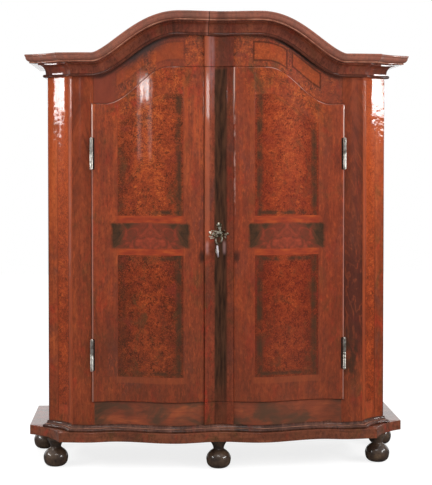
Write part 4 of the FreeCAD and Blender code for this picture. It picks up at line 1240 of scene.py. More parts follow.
@dataclass(frozen=True)
class Ebonised(Finish):
    """Black-brown turned wood, polished."""

    def look(self, tree: Tree) -> Look:
        """Nearly black with brown showing through, a few dents.

        Args:
            tree: the tree.

        Returns:
            The look.
        """
        wear = tree.noise(tree.place, 22.0, 5.0, 0.62)
        colour = tree.ramp(wear, ((0.35, (46, 34, 28)), (0.6, (80, 62, 48)), (0.8, (108, 86, 64))))
        rings = (tree.noise(tree.vector(0.0, 0.0, tree.z * 260.0), 1.0, 2.0) - 0.5) * 0.00005
        return Look(colour, wear * 0.2 + 0.30, rings + (tree.noise(tree.place, 40.0) - 0.5) * 0.0002)


@dataclass(frozen=True)
class OldMetal(Finish):
    """Old steel or worn gilt brass."""

    bright: Colour = (226, 222, 214)
    dull: Colour = (176, 168, 156)
    dirt: Colour = (70, 60, 50)
    gloss: float = 0.40
    wear: tuple[float, float, float] = (0.28, 0.40, 0.56)

    def look(self, tree: Tree) -> Look:
        """Bright where handled, dull and dark in the hollows.

        Args:
            tree: the tree.

        Returns:
            The look.
        """
        wear = tree.noise(tree.place, 70.0, 5.0, 0.6)
        colour = tree.ramp(wear, tuple(zip(self.wear, (self.dirt, self.dull, self.bright))))
        return Look(colour, wear * 0.25 + self.gloss - 0.08, (tree.noise(tree.place, 400.0, 3.0) - 0.5) * 0.00006, 1.0)


SHINE = {"specular": 0.06, "polish": 1.0, "polish_roughness": 0.05}
POLISHED = DoorVeneer("door_veneer", **SHINE)
CASE = CaseVeneer("case_veneer", **SHINE)
CANT = CantVeneer("cant_veneer", ripple=0.0006, **SHINE)
SIDE = Wood("side_veneer", **SHINE)
CROWN = MouldingWood(
    "cornice_veneer", deep=(76, 38, 28), middle=(126, 62, 44), pale=(154, 82, 56), bead=(0.0, 0.0155),
    fillet_highlight=(0.0665, 0.0735), middle_joint_and_sheen=True, mottle=0.45, **SHINE)
BASE = MouldingWood(
    "base_veneer", deep=(44, 29, 24), middle=(80, 50, 40), pale=(112, 72, 58), length=0.22, fillet_highlight=(0.0158, 0.0170),
    mottle=0.35, **SHINE)
SLAB = Wood(
    "plinth_veneer", deep=(72, 38, 24), middle=(114, 62, 42), pale=(142, 80, 54), grain=Grain.ACROSS, **SHINE)
STRIP = StripWood("strip_veneer", deep=(84, 40, 28), middle=(124, 58, 38), pale=(160, 80, 52), **SHINE)
FOOT = Ebonised("ebonised_turning", polish=1.0, polish_roughness=0.12)
INNER = Wood("inner_oak", deep=(92, 60, 34), middle=(134, 92, 54), pale=(168, 124, 78), gloss=0.5, ripple=0.0005)
BACKING = Boards("pine_back_boards", width=0.269667, start=-0.809)
ROOFING = Boards("pine_roof_boards", grain=Grain.BACK, width=0.117667, start=-0.706)
SHELVING = Boards("pine_shelf_boards", grain=Grain.FLAT, width=0.175, start=-0.166)
BATTEN = Boards("pine_battens", grain=Grain.BACK, width=2.0, start=-1.0)
STEEL = OldMetal("old_steel", specular=0.5)
BRIGHT = OldMetal(
    "bright_steel", bright=(246, 242, 248), dull=(224, 218, 226), dirt=(150, 140, 140), gloss=0.48, specular=0.5)
GILT = OldMetal(
    "cast_mount_metal", bright=(250, 244, 230), dull=(176, 162, 130), dirt=(48, 40, 30), gloss=0.32,
    wear=(0.40, 0.49, 0.57), specular=0.5)


# ---------------------------------------------------------------- feet and plinth
@dataclass
class Feet:
    """Five turned ball feet with trumpet necks."""

    flare_radius: float = 0.041
    front_inset: float = 0.133
    back_inset: float = 0.052
    front_setback: float = 0.109
    centre_setback: float = 0.032
    back_setback: float = 0.160
    ball: tuple[Pair, ...] = (
        (0.0215, 0.0), (0.041, 0.0045), (0.0545, 0.018), (0.0595, 0.038), (0.0590, 0.052), (0.0532, 0.067),
        (0.0425, 0.0795), (0.0315, 0.0875), (0.0262, 0.0925))
    neck: tuple[Pair, ...] = (
        (0.0255, 0.0945), (0.0262, 0.0985), (0.0285, 0.1060), (0.0325, 0.1150), (0.0380, 0.1235), (0.0405, 0.1275))

    def profile(self) -> list[Pair]:
        """(radius, height) points from the pad to the top."""
        top = [(self.flare_radius, 0.1300), (self.flare_radius, PLAN.foot_height), (0.0, PLAN.foot_height)]
        return [(0.0, 0.0)] + turned(self.ball, 0.004) + turned(self.neck, 0.003) + top

    def build(self) -> None:
        """Make the feet."""
        places = {"foot_front_centre": (0.0, PLAN.plinth_y + self.centre_setback)}
        for name, side in SIDES:
            places[f"foot_front_{name}"] = (
                side * (PLAN.plinth_half - self.front_inset), PLAN.plinth_y + self.front_setback)
            places[f"foot_back_{name}"] = (
                side * (PLAN.plinth_half - self.back_inset), PLAN.back_y - self.back_setback)
        for node, place in places.items():
            foot = Shell().lathe(self.profile(), Vector((*place, 0.0)), 64)
            foot.piece(f"turned_{node}", (FOOT,), "ebonised_wood", (node,), TURNED_CREASE)


@dataclass
class Plinth:
    """The slab with its serpentine front and hollow corners."""

    arris: float = 0.0025
    joint: float = 0.0002

    def slab_ring(self, edge: Vector, inner: Vector) -> list[Vector]:
        """Upright section of the slab.

        Args:
            edge: outer point in plan.
            inner: inner point in plan.

        Returns:
            The ring.
        """
        step = (inner - edge).normalized()
        ring = []
        for z, d in rounded(PLAN.foot_height, PLAN.plinth_top, (self.arris, self.arris)):
            point = edge + step * d
            ring.append(Vector((point.x, point.y, z)))
        return ring + [Vector((inner.x, inner.y, z)) for z in (PLAN.plinth_top, PLAN.foot_height)]

    def front(self) -> Shell:
        """The serpentine front board."""
        half, rings = PLAN.plinth_mitre, []
        inside = [(x, 0.0) for x in spread(-half, half, 0.01)[1:-1]]
        for x, d in sorted(rounded(-half, half, (0.0006, 0.0006), 0.001) + inside):
            edge = Vector((x, PLAN.plinth_y - PLAN.swell(x, half) + d, 0))
            rings.append(self.slab_ring(edge, Vector((x, PLAN.plinth_corner_y, 0))))
        return Shell().loft(rings)

    def corner(self) -> Shell:
        """The right hollow corner board."""
        start = Vector((PLAN.plinth_mitre, PLAN.plinth_y, 0))
        end = Vector((PLAN.plinth_half, PLAN.plinth_corner_y, 0))
        inner = Vector((PLAN.plinth_mitre + self.joint, PLAN.plinth_corner_y - self.joint, 0))
        arc = PLAN.arc(start, end, PLAN.plinth_hollow, 24)
        return Shell().loft([self.slab_ring(p, inner.lerp(p, 0.02)) for p in arc])

    def side(self) -> Shell:
        """The right side board."""
        front, back = PLAN.plinth_corner_y, PLAN.back_y
        return Shell().loft([
            self.slab_ring(Vector((PLAN.plinth_half, y, 0)), Vector((PLAN.plinth_mitre, y, 0)))
            for y in (front + self.joint, front + 0.002, back - 0.002, back)])

    def build(self) -> None:
        """Make the slab's boards."""
        self.front().piece("plinth_front_board", (SLAB,), "walnut_moulding", ("plinth_front",))
        both_sides(
            "walnut_moulding", BOARD_CREASE, (self.corner(), "plinth_corner_board", (SLAB,), "plinth_corner"),
            (self.side(), "plinth_side_board", (SLAB,), "plinth_side"))


# ---------------------------------------------------------------- mouldings
TINY = 0.0005  # half the distance over which a slope is taken


@dataclass
class Moulding:
    """A moulding swept over the front, round the hollow corners and along the sides."""

    profile: Sequence[Pair]
    base: Callable[[float], float]
    blend: float
    corner_start: float = 3.1
    side_start: float = 5.3

    def swept(self, rings: Sequence[Sequence[Vector]], start: float = 0.0) -> Shell:
        """The shell of a length, each point with its length along the moulding and height on it.

        Args:
            rings: sections in order.
            start: length at the first section.

        Returns:
            The shell.
        """
        shell, length = Shell().loft(rings), start
        for before, ring in zip([rings[0], *rings], rings):
            length += (ring[0] - before[0]).length
            shell.sweep.extend(Vector((length, up, 0)) for _, up in self.profile)
        return shell

    def front(self) -> Shell:
        """The length on the front, both halves."""
        mitre, half = PLAN.mitres()[0], []
        for x in spread(0.0, PLAN.half_front, 0.008):
            slope = (self.base(x + TINY) - self.base(abs(x - TINY))) / (2 * TINY) if x else 0.0
            length = math.hypot(1.0, slope)
            turn = max(0.0, (x - PLAN.half_front + self.blend) / self.blend)
            ring = []
            for out, up in self.profile:
                along = x - up * slope / length
                z = self.base(x) + up / length
                ring.append(Vector((along + out * mitre.x * turn, PLAN.front_y(along) - out, z)))
            half.append(ring)
        return self.swept([flipped(ring) for ring in reversed(half[1:])] + half)

    def corner(self) -> Shell:
        """The length on the right hollow corner."""
        (front, back), places, foot = PLAN.mitres(), PLAN.corner(), self.base(PLAN.half_front)
        rings = []
        for i, place in enumerate(places):
            outward = front.lerp(back, i / (len(places) - 1))
            rings.append([place + outward * out + Vector((0, 0, foot + up)) for out, up in self.profile])
        return self.swept(rings, self.corner_start)

    def side(self) -> Shell:
        """The length along the right side."""
        back, foot = PLAN.mitres()[1], self.base(PLAN.half_front)
        start = [PLAN.corner_ends[1] + back * out + Vector((0, 0, foot + up)) for out, up in self.profile]
        return self.swept([start, [Vector((p.x, PLAN.back_y, p.z)) for p in start]], self.side_start)


def quarter(start: Pair, end: Pair, hollow: bool, steps: int = 9) -> list[Pair]:
    """A quarter round or hollow.

    Args:
        start: first end, left out.
        end: last end.
        hollow: whether it is a hollow.
        steps: number of points.

    Returns:
        (projection, height) points.
    """
    found = []
    for angle in (math.pi / 2 * i / steps for i in range(1, steps + 1)):
        along, up = (1 - math.cos(angle), math.sin(angle)) if hollow else (math.sin(angle), 1 - math.cos(angle))
        found.append((start[0] + (end[0] - start[0]) * along, start[1] + (end[1] - start[1]) * up))
    return found


def bulge(middle: float, out: float, height: float, step: float) -> list[Pair]:
    """A half round on a fillet.

    Args:
        middle: projection of its ends.
        out: how far it stands out from them.
        height: its height.
        step: angle between points.

    Returns:
        (projection, height) points, both ends left out.
    """
    angles = spread(-math.pi / 2, math.pi / 2, step)[1:-1]
    return [(middle + out * math.cos(a), height * (1 + math.sin(a)) / 2) for a in angles]


@dataclass
class Cornice:
    """Bead, cove, fillet, ovolo and flat band under an arch."""

    bead_foot: float = 0.014
    bead_out: float = 0.008
    bead_height: float = 0.015
    height: float = 0.108
    blend: float = 0.090

    def profile(self) -> list[Pair]:
        """(projection, height) points of the section."""
        foot, high = self.bead_foot, self.bead_height
        return [
            (PLAN.seat, 0.0), (foot, 0.0), *bulge(foot, self.bead_out, high, 0.4), (foot, high), (0.009, high),
            (0.009, 0.020), *quarter((0.009, 0.020), (0.040, 0.060), hollow=True), (0.0437, 0.060), (0.044, 0.0603),
            (0.044, 0.066), (0.0805, 0.0665), (0.0825, 0.0672), (0.0836, 0.0685), (0.0836, 0.0698), (0.0826, 0.0716),
            (0.0812, 0.0732), (0.0806, 0.0738), *quarter((0.0806, 0.0738), (0.100, 0.095), hollow=False),
            (0.1012, 0.0968), (0.1030, 0.0990), (0.104, 0.1016), (0.104, 0.1058), (0.1034, 0.1074),
            (0.1020, self.height), (PLAN.seat, self.height),
        ]

    def build(self) -> None:
        """Make the cornice's five lengths."""
        moulding = Moulding(self.profile(), PLAN.cornice_arch, self.blend)
        moulding.front().piece("cornice_arch", (CROWN,), "walnut_moulding", ("cornice_front",), MOULDED_CREASE)
        both_sides(
            "walnut_moulding", MOULDED_CREASE, (moulding.corner(), "cornice_mitre", (CROWN,), "cornice_corner"),
            (moulding.side(), "cornice_return", (CROWN,), "cornice_side"))


@dataclass
class BaseMoulding:
    """A torus under a cavetto, on the front and the corners."""

    width: float = 0.029
    height: float = 0.031

    def profile(self) -> list[Pair]:
        """(projection, height) points of the section."""
        w, h, torus = self.width, self.height, 0.45 * self.height
        return [
            (PLAN.seat, 0.0), (0.80 * w, 0.0), *bulge(0.80 * w, 0.20 * w, torus, 0.35), (0.78 * w, torus),
            (0.70 * w, torus + 0.0004), (0.70 * w, torus + 0.002),
            *quarter((0.70 * w, torus + 0.002), (0.24 * w, h - 0.003), hollow=False, steps=6), (0.24 * w, h),
            (PLAN.seat, h),
        ]

    def build(self) -> None:
        """Make the moulding in one piece."""
        moulding = Moulding(self.profile(), lambda x: PLAN.plinth_top, 0.040)
        shell = moulding.front()
        for _, side in SIDES:
            shell.add(moulding.corner().on_side(side))
        shell.piece("base_torus_and_cove", (BASE,), "walnut_moulding", ("base_moulding",), MOULDED_CREASE)


# ---------------------------------------------------------------- case
def dress(finish: Finish, *nodes: str) -> None:
    """Give nodes that stay visible their finish.

    Args:
        finish: the finish.
        nodes: their names.
    """
    for node in nodes:
        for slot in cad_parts[node].material_slots:
            slot.material = finish.material()


def over_doors(x: float) -> float:
    """Lower edge of what stands over the doors, at x."""
    return PLAN.door_arch(x) + PLAN.door_gap


def hollow_strip(low: Height, high: Height, far: float, radii: Sequence[float]) -> Shell:
    """A length of the hollow middle strip.

    Args:
        low: lower edge.
        high: upper edge.
        far: depth of its back behind the case's front.
        radii: radii of the arrises at the two sides, below and above.

    Returns:
        The shell.
    """
    return front_board((-PLAN.strip_edge, PLAN.strip_edge), low, high, lambda x: -PLAN.strip_proud(x), far, radii,
                       0.003, (-PLAN.fillet_edge, PLAN.fillet_edge))


@dataclass
class Case:
    """Posts, stiles, frieze, bottom rail and the fixed strips."""

    frame_thickness: float = 0.030
    post_return: float = 0.030
    side_thickness: float = 0.022
    arris: float = 0.0004
    stile_arrises: Pair = (0.0010, 0.0014)
    strip_arrises: tuple[float, ...] = (0.003,) * 4

    def post(self) -> Shell:
        """The right hollow-faced post."""
        outline = PLAN.corner(28) + [
            Vector((x, PLAN.cant_back_y + self.post_return, 0))
            for x in (PLAN.half_width, PLAN.half_width - self.side_thickness)]
        outline.append(Vector((PLAN.half_front, PLAN.mitre_y + self.frame_thickness, 0)))
        rings = [[Vector((p.x, p.y, z)) for p in outline] for z in (PLAN.plinth_top, PLAN.case_top)]
        return Shell().loft(rings, inner=(len(outline) - 2, len(outline) - 3))

    def build(self) -> None:
        """Make the front frame and the fixed strips and dress the plain boards."""
        both, deep, arris = (CASE, INNER), self.frame_thickness, self.arris
        opening = (-PLAN.opening_edge, PLAN.opening_edge)
        for name, side in SIDES:
            self.post().on_side(side).piece(
                f"hollow_post_{name}", (CANT, INNER), "walnut_veneer", (f"corner_post_{name}",), TURNED_CREASE)
            front_board(
                (PLAN.opening_edge, PLAN.half_front), PLAN.plinth_top, PLAN.case_top, 0.0, deep,
                (*self.stile_arrises, arris, arris),
            ).on_side(side).piece(f"stile_{name}", both, "walnut_veneer", (f"front_stile_{name}",))
        front_board(
            opening, PLAN.plinth_top, PLAN.door_bottom - PLAN.door_gap, 0.0, deep, (arris,) * 4,
        ).piece("rail_below_doors", both, "walnut_veneer", ("bottom_rail",))
        front_board(
            opening, over_doors, PLAN.roof_arch, 0.0, deep, (arris,) * 4,
        ).piece("arched_frieze", both, "walnut_veneer", ("frieze",))
        upper = hollow_strip(over_doors, lambda x: PLAN.cornice_arch(x) - PLAN.seat, -PLAN.seat, self.strip_arrises)
        lower = hollow_strip(
            PLAN.moulding_top + PLAN.seat, PLAN.door_bottom - PLAN.door_gap, -PLAN.seat, self.strip_arrises)
        upper.add(lower).piece("fixed_hollow_strips", (STRIP,), "dark_walnut", ("fixed_strips",), STRIP_CREASE)
        dress(SIDE, "side_panel_left", "side_panel_right")
        dress(SLAB, "plinth_back")
        dress(BACKING, "back_boards")
        dress(ROOFING, "roof_boards")
        dress(SHELVING, "floor_board", "shelves")
        dress(BATTEN, "floor_bearers", "shelf_battens")


# ---------------------------------------------------------------- doors
@dataclass
class Door:
    """One leaf: frame members and two panels, flush under one sheet of veneer."""

    name: str
    side: int
    proud: float = 0.008
    thickness: float = 0.030
    panel_thickness: float = 0.018
    lock_edge: float = 0.173
    hinge_edge: float = 0.487
    top_drop: Pair = (0.132, 0.109)
    rail_foot: float = 1.038
    rail_top: float = 1.228
    bottom_top: float = 0.449
    arris: float = 0.0032
    seam: float = 0.0002

    def build(self) -> None:
        """Make the leaf's seven pieces."""
        inner = PLAN.strip_edge if self.side > 0 else PLAN.strip_edge + PLAN.door_gap
        between, foot, arch = (self.lock_edge, self.hinge_edge), PLAN.door_bottom, PLAN.door_arch
        soft, seam = self.arris, self.seam
        members = {
            "hinge_stile": ((self.hinge_edge, PLAN.door_edge), foot, arch, (seam, soft, soft, soft)),
            "lock_stile": ((inner, self.lock_edge), foot, arch, (soft, seam, soft, soft)),
            "top_rail": (between, self.field_top, arch, (seam, seam, seam, soft)),
            "middle_rail": (between, self.rail_foot, self.rail_top, (seam,) * 4),
            "bottom_rail": (between, foot, self.bottom_top, (seam, seam, soft, seam)),
            "upper_panel": (between, self.rail_top, self.field_top, (seam,) * 4),
            "lower_panel": (between, self.bottom_top, self.rail_foot, (seam,) * 4),
        }
        for member, (ends, low, high, radii) in members.items():
            panel = "panel" in member
            thick, slot = (self.panel_thickness, "burl_walnut") if panel else (self.thickness, "walnut_veneer")
            board = front_board(ends, low, high, -self.proud, thick - self.proud, radii, 0.006)
            board.on_side(self.side).piece(
                f"{self.name}_leaf_{member}", (POLISHED, INNER), slot, (f"{self.name}_door_{member}",),
                body=f"{self.name}_door")

    def field_top(self, x: float) -> float:
        """Upper edge of the upper field at x."""
        share = (abs(x) - self.lock_edge) / (self.hinge_edge - self.lock_edge)
        return PLAN.door_arch(x) - self.top_drop[0] - (self.top_drop[1] - self.top_drop[0]) * share


@dataclass
class MiddleStrip:
    """The hollow strip that the right door carries."""

    depth: float = 0.022
    radii: tuple[float, ...] = (0.003, 0.003, 0.0006, 0.0006)

    def build(self) -> None:
        """Make the strip."""
        strip = hollow_strip(PLAN.door_bottom, PLAN.door_arch, self.depth, self.radii)
        strip.piece("hollow_strip", (STRIP, INNER), "dark_walnut", ("centre_strip",), STRIP_CREASE, "right_door")


# ---------------------------------------------------------------- ironwork
MM = 0.001


@dataclass
class Hinges:
    """Pin hinges with turned knuckles and button ends."""

    line: Pair = (0.613, -0.239082)
    radius: float = 0.008
    length: float = 0.072
    gap: float = 0.0004
    foot: tuple[Pair, ...] = (
        (0.0, 0.0), (0.9, 0.0), (1.0, 0.0008), (1.0, 0.003), (0.93, 0.0038), (0.93, 0.0050), (0.97, 0.0056))
    button: tuple[Pair, ...] = (
        (0.97, -0.0110), (1.0, -0.0100), (1.0, -0.0075), (0.86, -0.0062), (0.86, -0.0045), (0.96, -0.0030),
        (0.96, 0.0), (0.5, 0.0012), (0.62, 0.0030), (0.55, 0.0052), (0.3, 0.0063), (0.0, 0.0065))

    def knuckle(self, foot: float, button_up: bool) -> Shell:
        """One knuckle with its button.

        Args:
            foot: height of its lower end.
            button_up: whether the button is at the upper end.

        Returns:
            The right knuckle.
        """
        body = list(self.foot) + [(share, z + self.length) for share, z in self.button]
        body = [(share * self.radius, (z if button_up else self.length - z) + foot) for share, z in body]
        return Shell().lathe(body, Vector((*self.line, 0)), 28)

    def build(self) -> None:
        """Make lower knuckles on the case and upper ones on the doors."""
        lower = Shell()
        for middle in PLAN.hinge_heights:
            for _, side in SIDES:
                lower.add(self.knuckle(middle - self.length, False).on_side(side))
        lower.piece("lower_knuckles", (STEEL,), "steel", ("hinge_frame_halves",), TURNED_CREASE)
        for name, side in SIDES:
            upper = Shell()
            for middle in PLAN.hinge_heights:
                upper.add(self.knuckle(middle + self.gap, True).on_side(side))
            upper.piece(
                f"upper_knuckles_{name}", (STEEL,), "steel", (f"{name}_door_hinge_halves",), TURNED_CREASE,
                f"{name}_door")


def squared(part: float, power: float) -> float:
    """A sine or cosine pulled towards a square outline."""
    return math.copysign(abs(part) ** power, part)


@dataclass
class Key:
    """A key with an oval ring bow."""

    bow_height: float = 0.060
    bow_length: float = 0.038
    ring: float = 0.009
    thickness: float = 0.008
    shank_radius: float = 0.004
    bow_y: float = -0.2663
    tip_y: float = -0.1947
    tilt: float = 5.0
    collars: tuple[Pair, ...] = (
        (0.0, 0.0), (1.0, 0.0), (1.0, 0.002), (1.25, 0.003), (1.25, 0.005), (1.0, 0.006), (1.0, 0.009), (1.15, 0.010),
        (1.15, 0.011), (0.95, 0.012))

    def build(self) -> None:
        """Make the bow and the collared shank."""
        centre = Vector((0, self.bow_y - self.bow_length / 2 + self.ring / 2, 0))
        reach, rise = (self.bow_length - self.ring) / 2, (self.bow_height - self.ring) / 2
        rings = []
        for angle in (2 * math.pi * i / 48 for i in range(48)):
            outward = Vector((0, math.cos(angle), math.sin(angle)))
            middle = centre + Vector((0, reach * squared(outward.y, 0.62), rise * squared(outward.z, 0.62)))
            rings.append([
                middle + outward * (squared(math.cos(turn), 0.7) * self.ring / 2)
                + Vector((squared(math.sin(turn), 0.7) * self.thickness / 2, 0, 0))
                for turn in (2 * math.pi * j / 12 for j in range(12))])
        profile = [(share * self.shank_radius, self.bow_y + y) for share, y in self.collars]
        profile += [(0.95 * self.shank_radius, self.tip_y), (0.0, self.tip_y)]
        shank = Shell().lathe(profile, Vector((0, 0, 0)), 24)
        shank.points = [p.xzy for p in shank.points]
        shell = Shell().loft(rings, loop=True).add(shank)
        turn = Matrix.Translation((PLAN.key_x, 0, PLAN.key_z)) @ Matrix.Rotation(math.radians(-self.tilt), 4, "Y")
        shell.points = [turn @ p for p in shell.points]
        shell.piece("door_key", (BRIGHT,), "steel", ("key",), TURNED_CREASE, "key")


@dataclass
class Escutcheon:
    """A pierced cast mount: finial, two flourishes, a loop of two legs and a keyhole plate."""

    weight: float = 1.08
    voxel: float = 0.9
    relief: float = 0.5
    hollow: float = -0.0026
    crest: float = 0.0006
    thickness: float = 0.0009
    knobs: tuple[tuple[float, ...], ...] = (
        (2, 122, 10.5), (2, 86, 7.5), (-45, 90, 4.8), (-46, 70, 4.2), (42, 82, 5.4), (-40, 58, 3.4))

    def strokes(self) -> list[tuple[list[Pair], float, float]]:
        """(points in X and height above the key in mm, first radius, last radius) of each stroke."""
        return [
            ([(4, 94), (4, 102), (3, 110), (2, 118)], 3.4, 7.5),
            ([(-6, 112), (2, 109), (10, 112)], 2.0, 2.0),
            ([(-8, 124), (-4, 131), (4, 132), (11, 126)], 3.4, 3.4),
            ([(6, 70), (7, 80), (5, 94)], 6.0, 4.4),
            ([(0, 84), (-10, 91), (-20, 90), (-27, 82), (-34, 78), (-42, 82), (-46, 90)], 4.6, 3.0),
            ([(-8, 80), (-18, 74), (-28, 72), (-38, 66), (-46, 70)], 4.0, 2.6),
            ([(-12, 72), (-20, 64), (-30, 60), (-40, 58)], 3.4, 2.0),
            ([(-20, 90), (-28, 97), (-36, 96)], 3.0, 2.2),
            ([(-24, 80), (-30, 88), (-38, 90)], 2.6, 2.0),
            ([(7, 84), (15, 91), (23, 88), (29, 80), (36, 78), (42, 82)], 4.4, 3.6),
            ([(12, 78), (22, 72), (30, 66), (33, 60)], 3.8, 2.2),
            ([(16, 90), (22, 97), (30, 96)], 2.6, 2.0),
            ([(-6, 72), (-13, 62), (-16, 52), (-14, 42), (-8, 34)], 2.8, 2.2),
            ([(8, 74), (13, 64), (15, 54), (12, 44), (4, 36), (-6, 31)], 3.6, 2.4),
            ([(-6, 31), (-8, 22), (-9, 12)], 2.6, 4.0),
            ([(-8, 12), (-14, 4), (-14, -6), (-8, -14), (-2, -6), (-2, 4), (-8, 12)], 2.2, 2.2),
        ]

    def build(self) -> None:
        """Cast the strokes together and lay them on the strip."""
        balls: list[tuple[Vector, float, int, float]] = []
        for points, first, last in self.strokes():
            curve = smooth_line([Vector((x, 0, z)) for x, z in points], 1.2)
            for i, point in enumerate(curve):
                balls.append((point, (first + (last - first) * i / (len(curve) - 1)) * self.weight, 2, 0.55))
        balls += [(Vector((x, 0, z)), radius, 3, 0.6) for x, z, radius in self.knobs]
        work = bmesh.new()
        for place, radius, levels, flat in balls:
            for vert in bmesh.ops.create_icosphere(work, subdivisions=levels, radius=radius)["verts"]:
                vert.co = place + Vector((vert.co.x, vert.co.y * flat, vert.co.z))
        mesh = bpy.data.meshes.new("escutcheon_strokes")
        work.to_mesh(mesh)
        work.free()
        rough = show(bpy.data.objects.new("rough_mount", mesh))
        remesh = rough.modifiers.new("cast", "REMESH")
        remesh.mode, remesh.voxel_size, remesh.use_smooth_shade = "VOXEL", self.voxel, True
        smooth = rough.modifiers.new("chase", "SMOOTH")
        smooth.factor, smooth.iterations = 0.5, 3
        cast = evaluated(rough)
        for vert in cast.vertices:
            x, z = vert.co.x * MM, PLAN.key_z + vert.co.z * MM
            face = PLAN.front_y(x) - (PLAN.strip_proud(x) if abs(x) < PLAN.strip_edge else 0.0)
            depth = max(self.hollow, min(vert.co.y * self.relief * MM, self.crest)) - self.thickness
            vert.co = Vector((x, face + depth, z))
        for polygon in cast.polygons:
            polygon.use_smooth = True
        cast.materials.clear()
        cast.materials.append(GILT.material())
        hang(bpy.data.objects.new("cast_mount", cast), "right_door", "pewter_brass", ("escutcheon",))


@dataclass
class Ironwork:
    """Lock, keepers, guides and slide bolts, with slotted screw heads."""

    radius: float = 0.0032
    height: float = 0.0011
    slot: float = 0.0009
    inset: float = 0.007
    guide_x: Pair = (-0.1372, -0.1168)
    guide_z: tuple[float, ...] = (0.382, 0.584, 1.686, 1.888)
    keeper_z: float = 1.964

    def seats(self) -> dict[str, list[Vector]]:
        """Where the heads sit, by body."""
        corners: dict[str, list[Vector]] = {}
        for node in ("lock_case", "lock_keeper"):
            low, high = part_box(node)
            corners[node] = [
                Vector((x, high[1], z))
                for x in (low[0] + self.inset, high[0] - self.inset)
                for z in (low[2] + self.inset, high[2] - self.inset)]
        back, keeper_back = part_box("bolt_guides")[1][1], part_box("bolt_keeper")[1][1]
        guides = [Vector((x, back, z)) for x in self.guide_x for z in self.guide_z]
        keeper = [Vector((x, keeper_back, self.keeper_z)) for x in self.guide_x]
        return {"right_door": corners["lock_case"], "left_door": corners["lock_keeper"] + guides, "carcase": keeper}

    @staticmethod
    def group() -> bpy.types.NodeTree:
        """Node group that sets one slotted head, turned at random, on each point of a mesh."""
        group = bpy.data.node_groups.new("screw_heads", "GeometryNodeTree")
        kinds = {
            "Seats": "Geometry", "Head Radius": "Float", "Head Height": "Float", "Slot Width": "Float", "Seed": "Int",
            "Finish": "Material",
        }
        for name, kind in kinds.items():
            group.interface.new_socket(name, in_out="INPUT", socket_type=f"NodeSocket{kind}")
        group.interface.new_socket("Heads", in_out="OUTPUT", socket_type="NodeSocketGeometry")
        tree = Tree(group)
        given = {name: Term(tree, socket) for name, socket in tree.add("NodeGroupInput").outputs.items() if name}
        radius, height = given["Head Radius"], given["Head Height"]
        cone = tree.get("GeometryNodeMeshCone", "Mesh", {}, {
            "Vertices": 16, "Radius Top": radius * 0.74, "Radius Bottom": radius, "Depth": height})
        size = tree.vector(radius * 2.4, given["Slot Width"], height)
        lifted = tree.get("GeometryNodeTransform", "Geometry", {}, {
            "Geometry": tree.get("GeometryNodeMeshCube", "Mesh", {}, {"Size": size}),
            "Translation": tree.vector(0.0, 0.0, height * 1.1)})
        head = tree.get(
            "GeometryNodeMeshBoolean", "Mesh", {"operation": "DIFFERENCE"}, {"Mesh 1": cone, "Mesh 2": lifted})
        chance = tree.get("FunctionNodeRandomValue", "Value_001", {"data_type": "FLOAT"}, {
            "Max_001": math.pi, "Seed": given["Seed"]})
        heads = tree.get("GeometryNodeInstanceOnPoints", "Instances", {}, {
            "Points": given["Seats"], "Instance": head, "Rotation": tree.vector(-math.pi / 2, chance, 0.0)})
        real = tree.get("GeometryNodeRealizeInstances", "Geometry", {}, {"Geometry": heads})
        dressed = tree.get("GeometryNodeSetMaterial", "Geometry", {}, {"Geometry": real, "Material": given["Finish"]})
        tree.add("NodeGroupOutput", {}, {"Heads": dressed})
        return group

    def build(self) -> None:
        """Dress the plain iron parts, grow the heads of each body and keep them as a plain mesh."""
        dress(STEEL, "lock_case", "lock_bolt", "lock_keeper", "bolt_guides", "bolt_keeper", "top_bolt", "bottom_bolt")
        group = self.group()
        sizes = {
            "Head Radius": self.radius, "Head Height": self.height, "Slot Width": self.slot, "Seed": 11,
            "Finish": STEEL.material(),
        }
        identifiers = {item.name: item.identifier for item in group.interface.items_tree}
        for body, seats in self.seats().items():
            mesh = bpy.data.meshes.new("seats")
            mesh.from_pydata([seat + Vector((0.0, self.height * 0.4, 0.0)) for seat in seats], [], [])
            seed = show(bpy.data.objects.new("seats", mesh))
            grow = seed.modifiers.new("heads", "NODES")
            grow.node_group = group
            for name, value in sizes.items():
                grow[identifiers[name]] = value
            hang(bpy.data.objects.new(f"screws_{body}", evaluated(seed)), body, "steel")


# ---------------------------------------------------------------- studio
WHITE = (255, 255, 255)


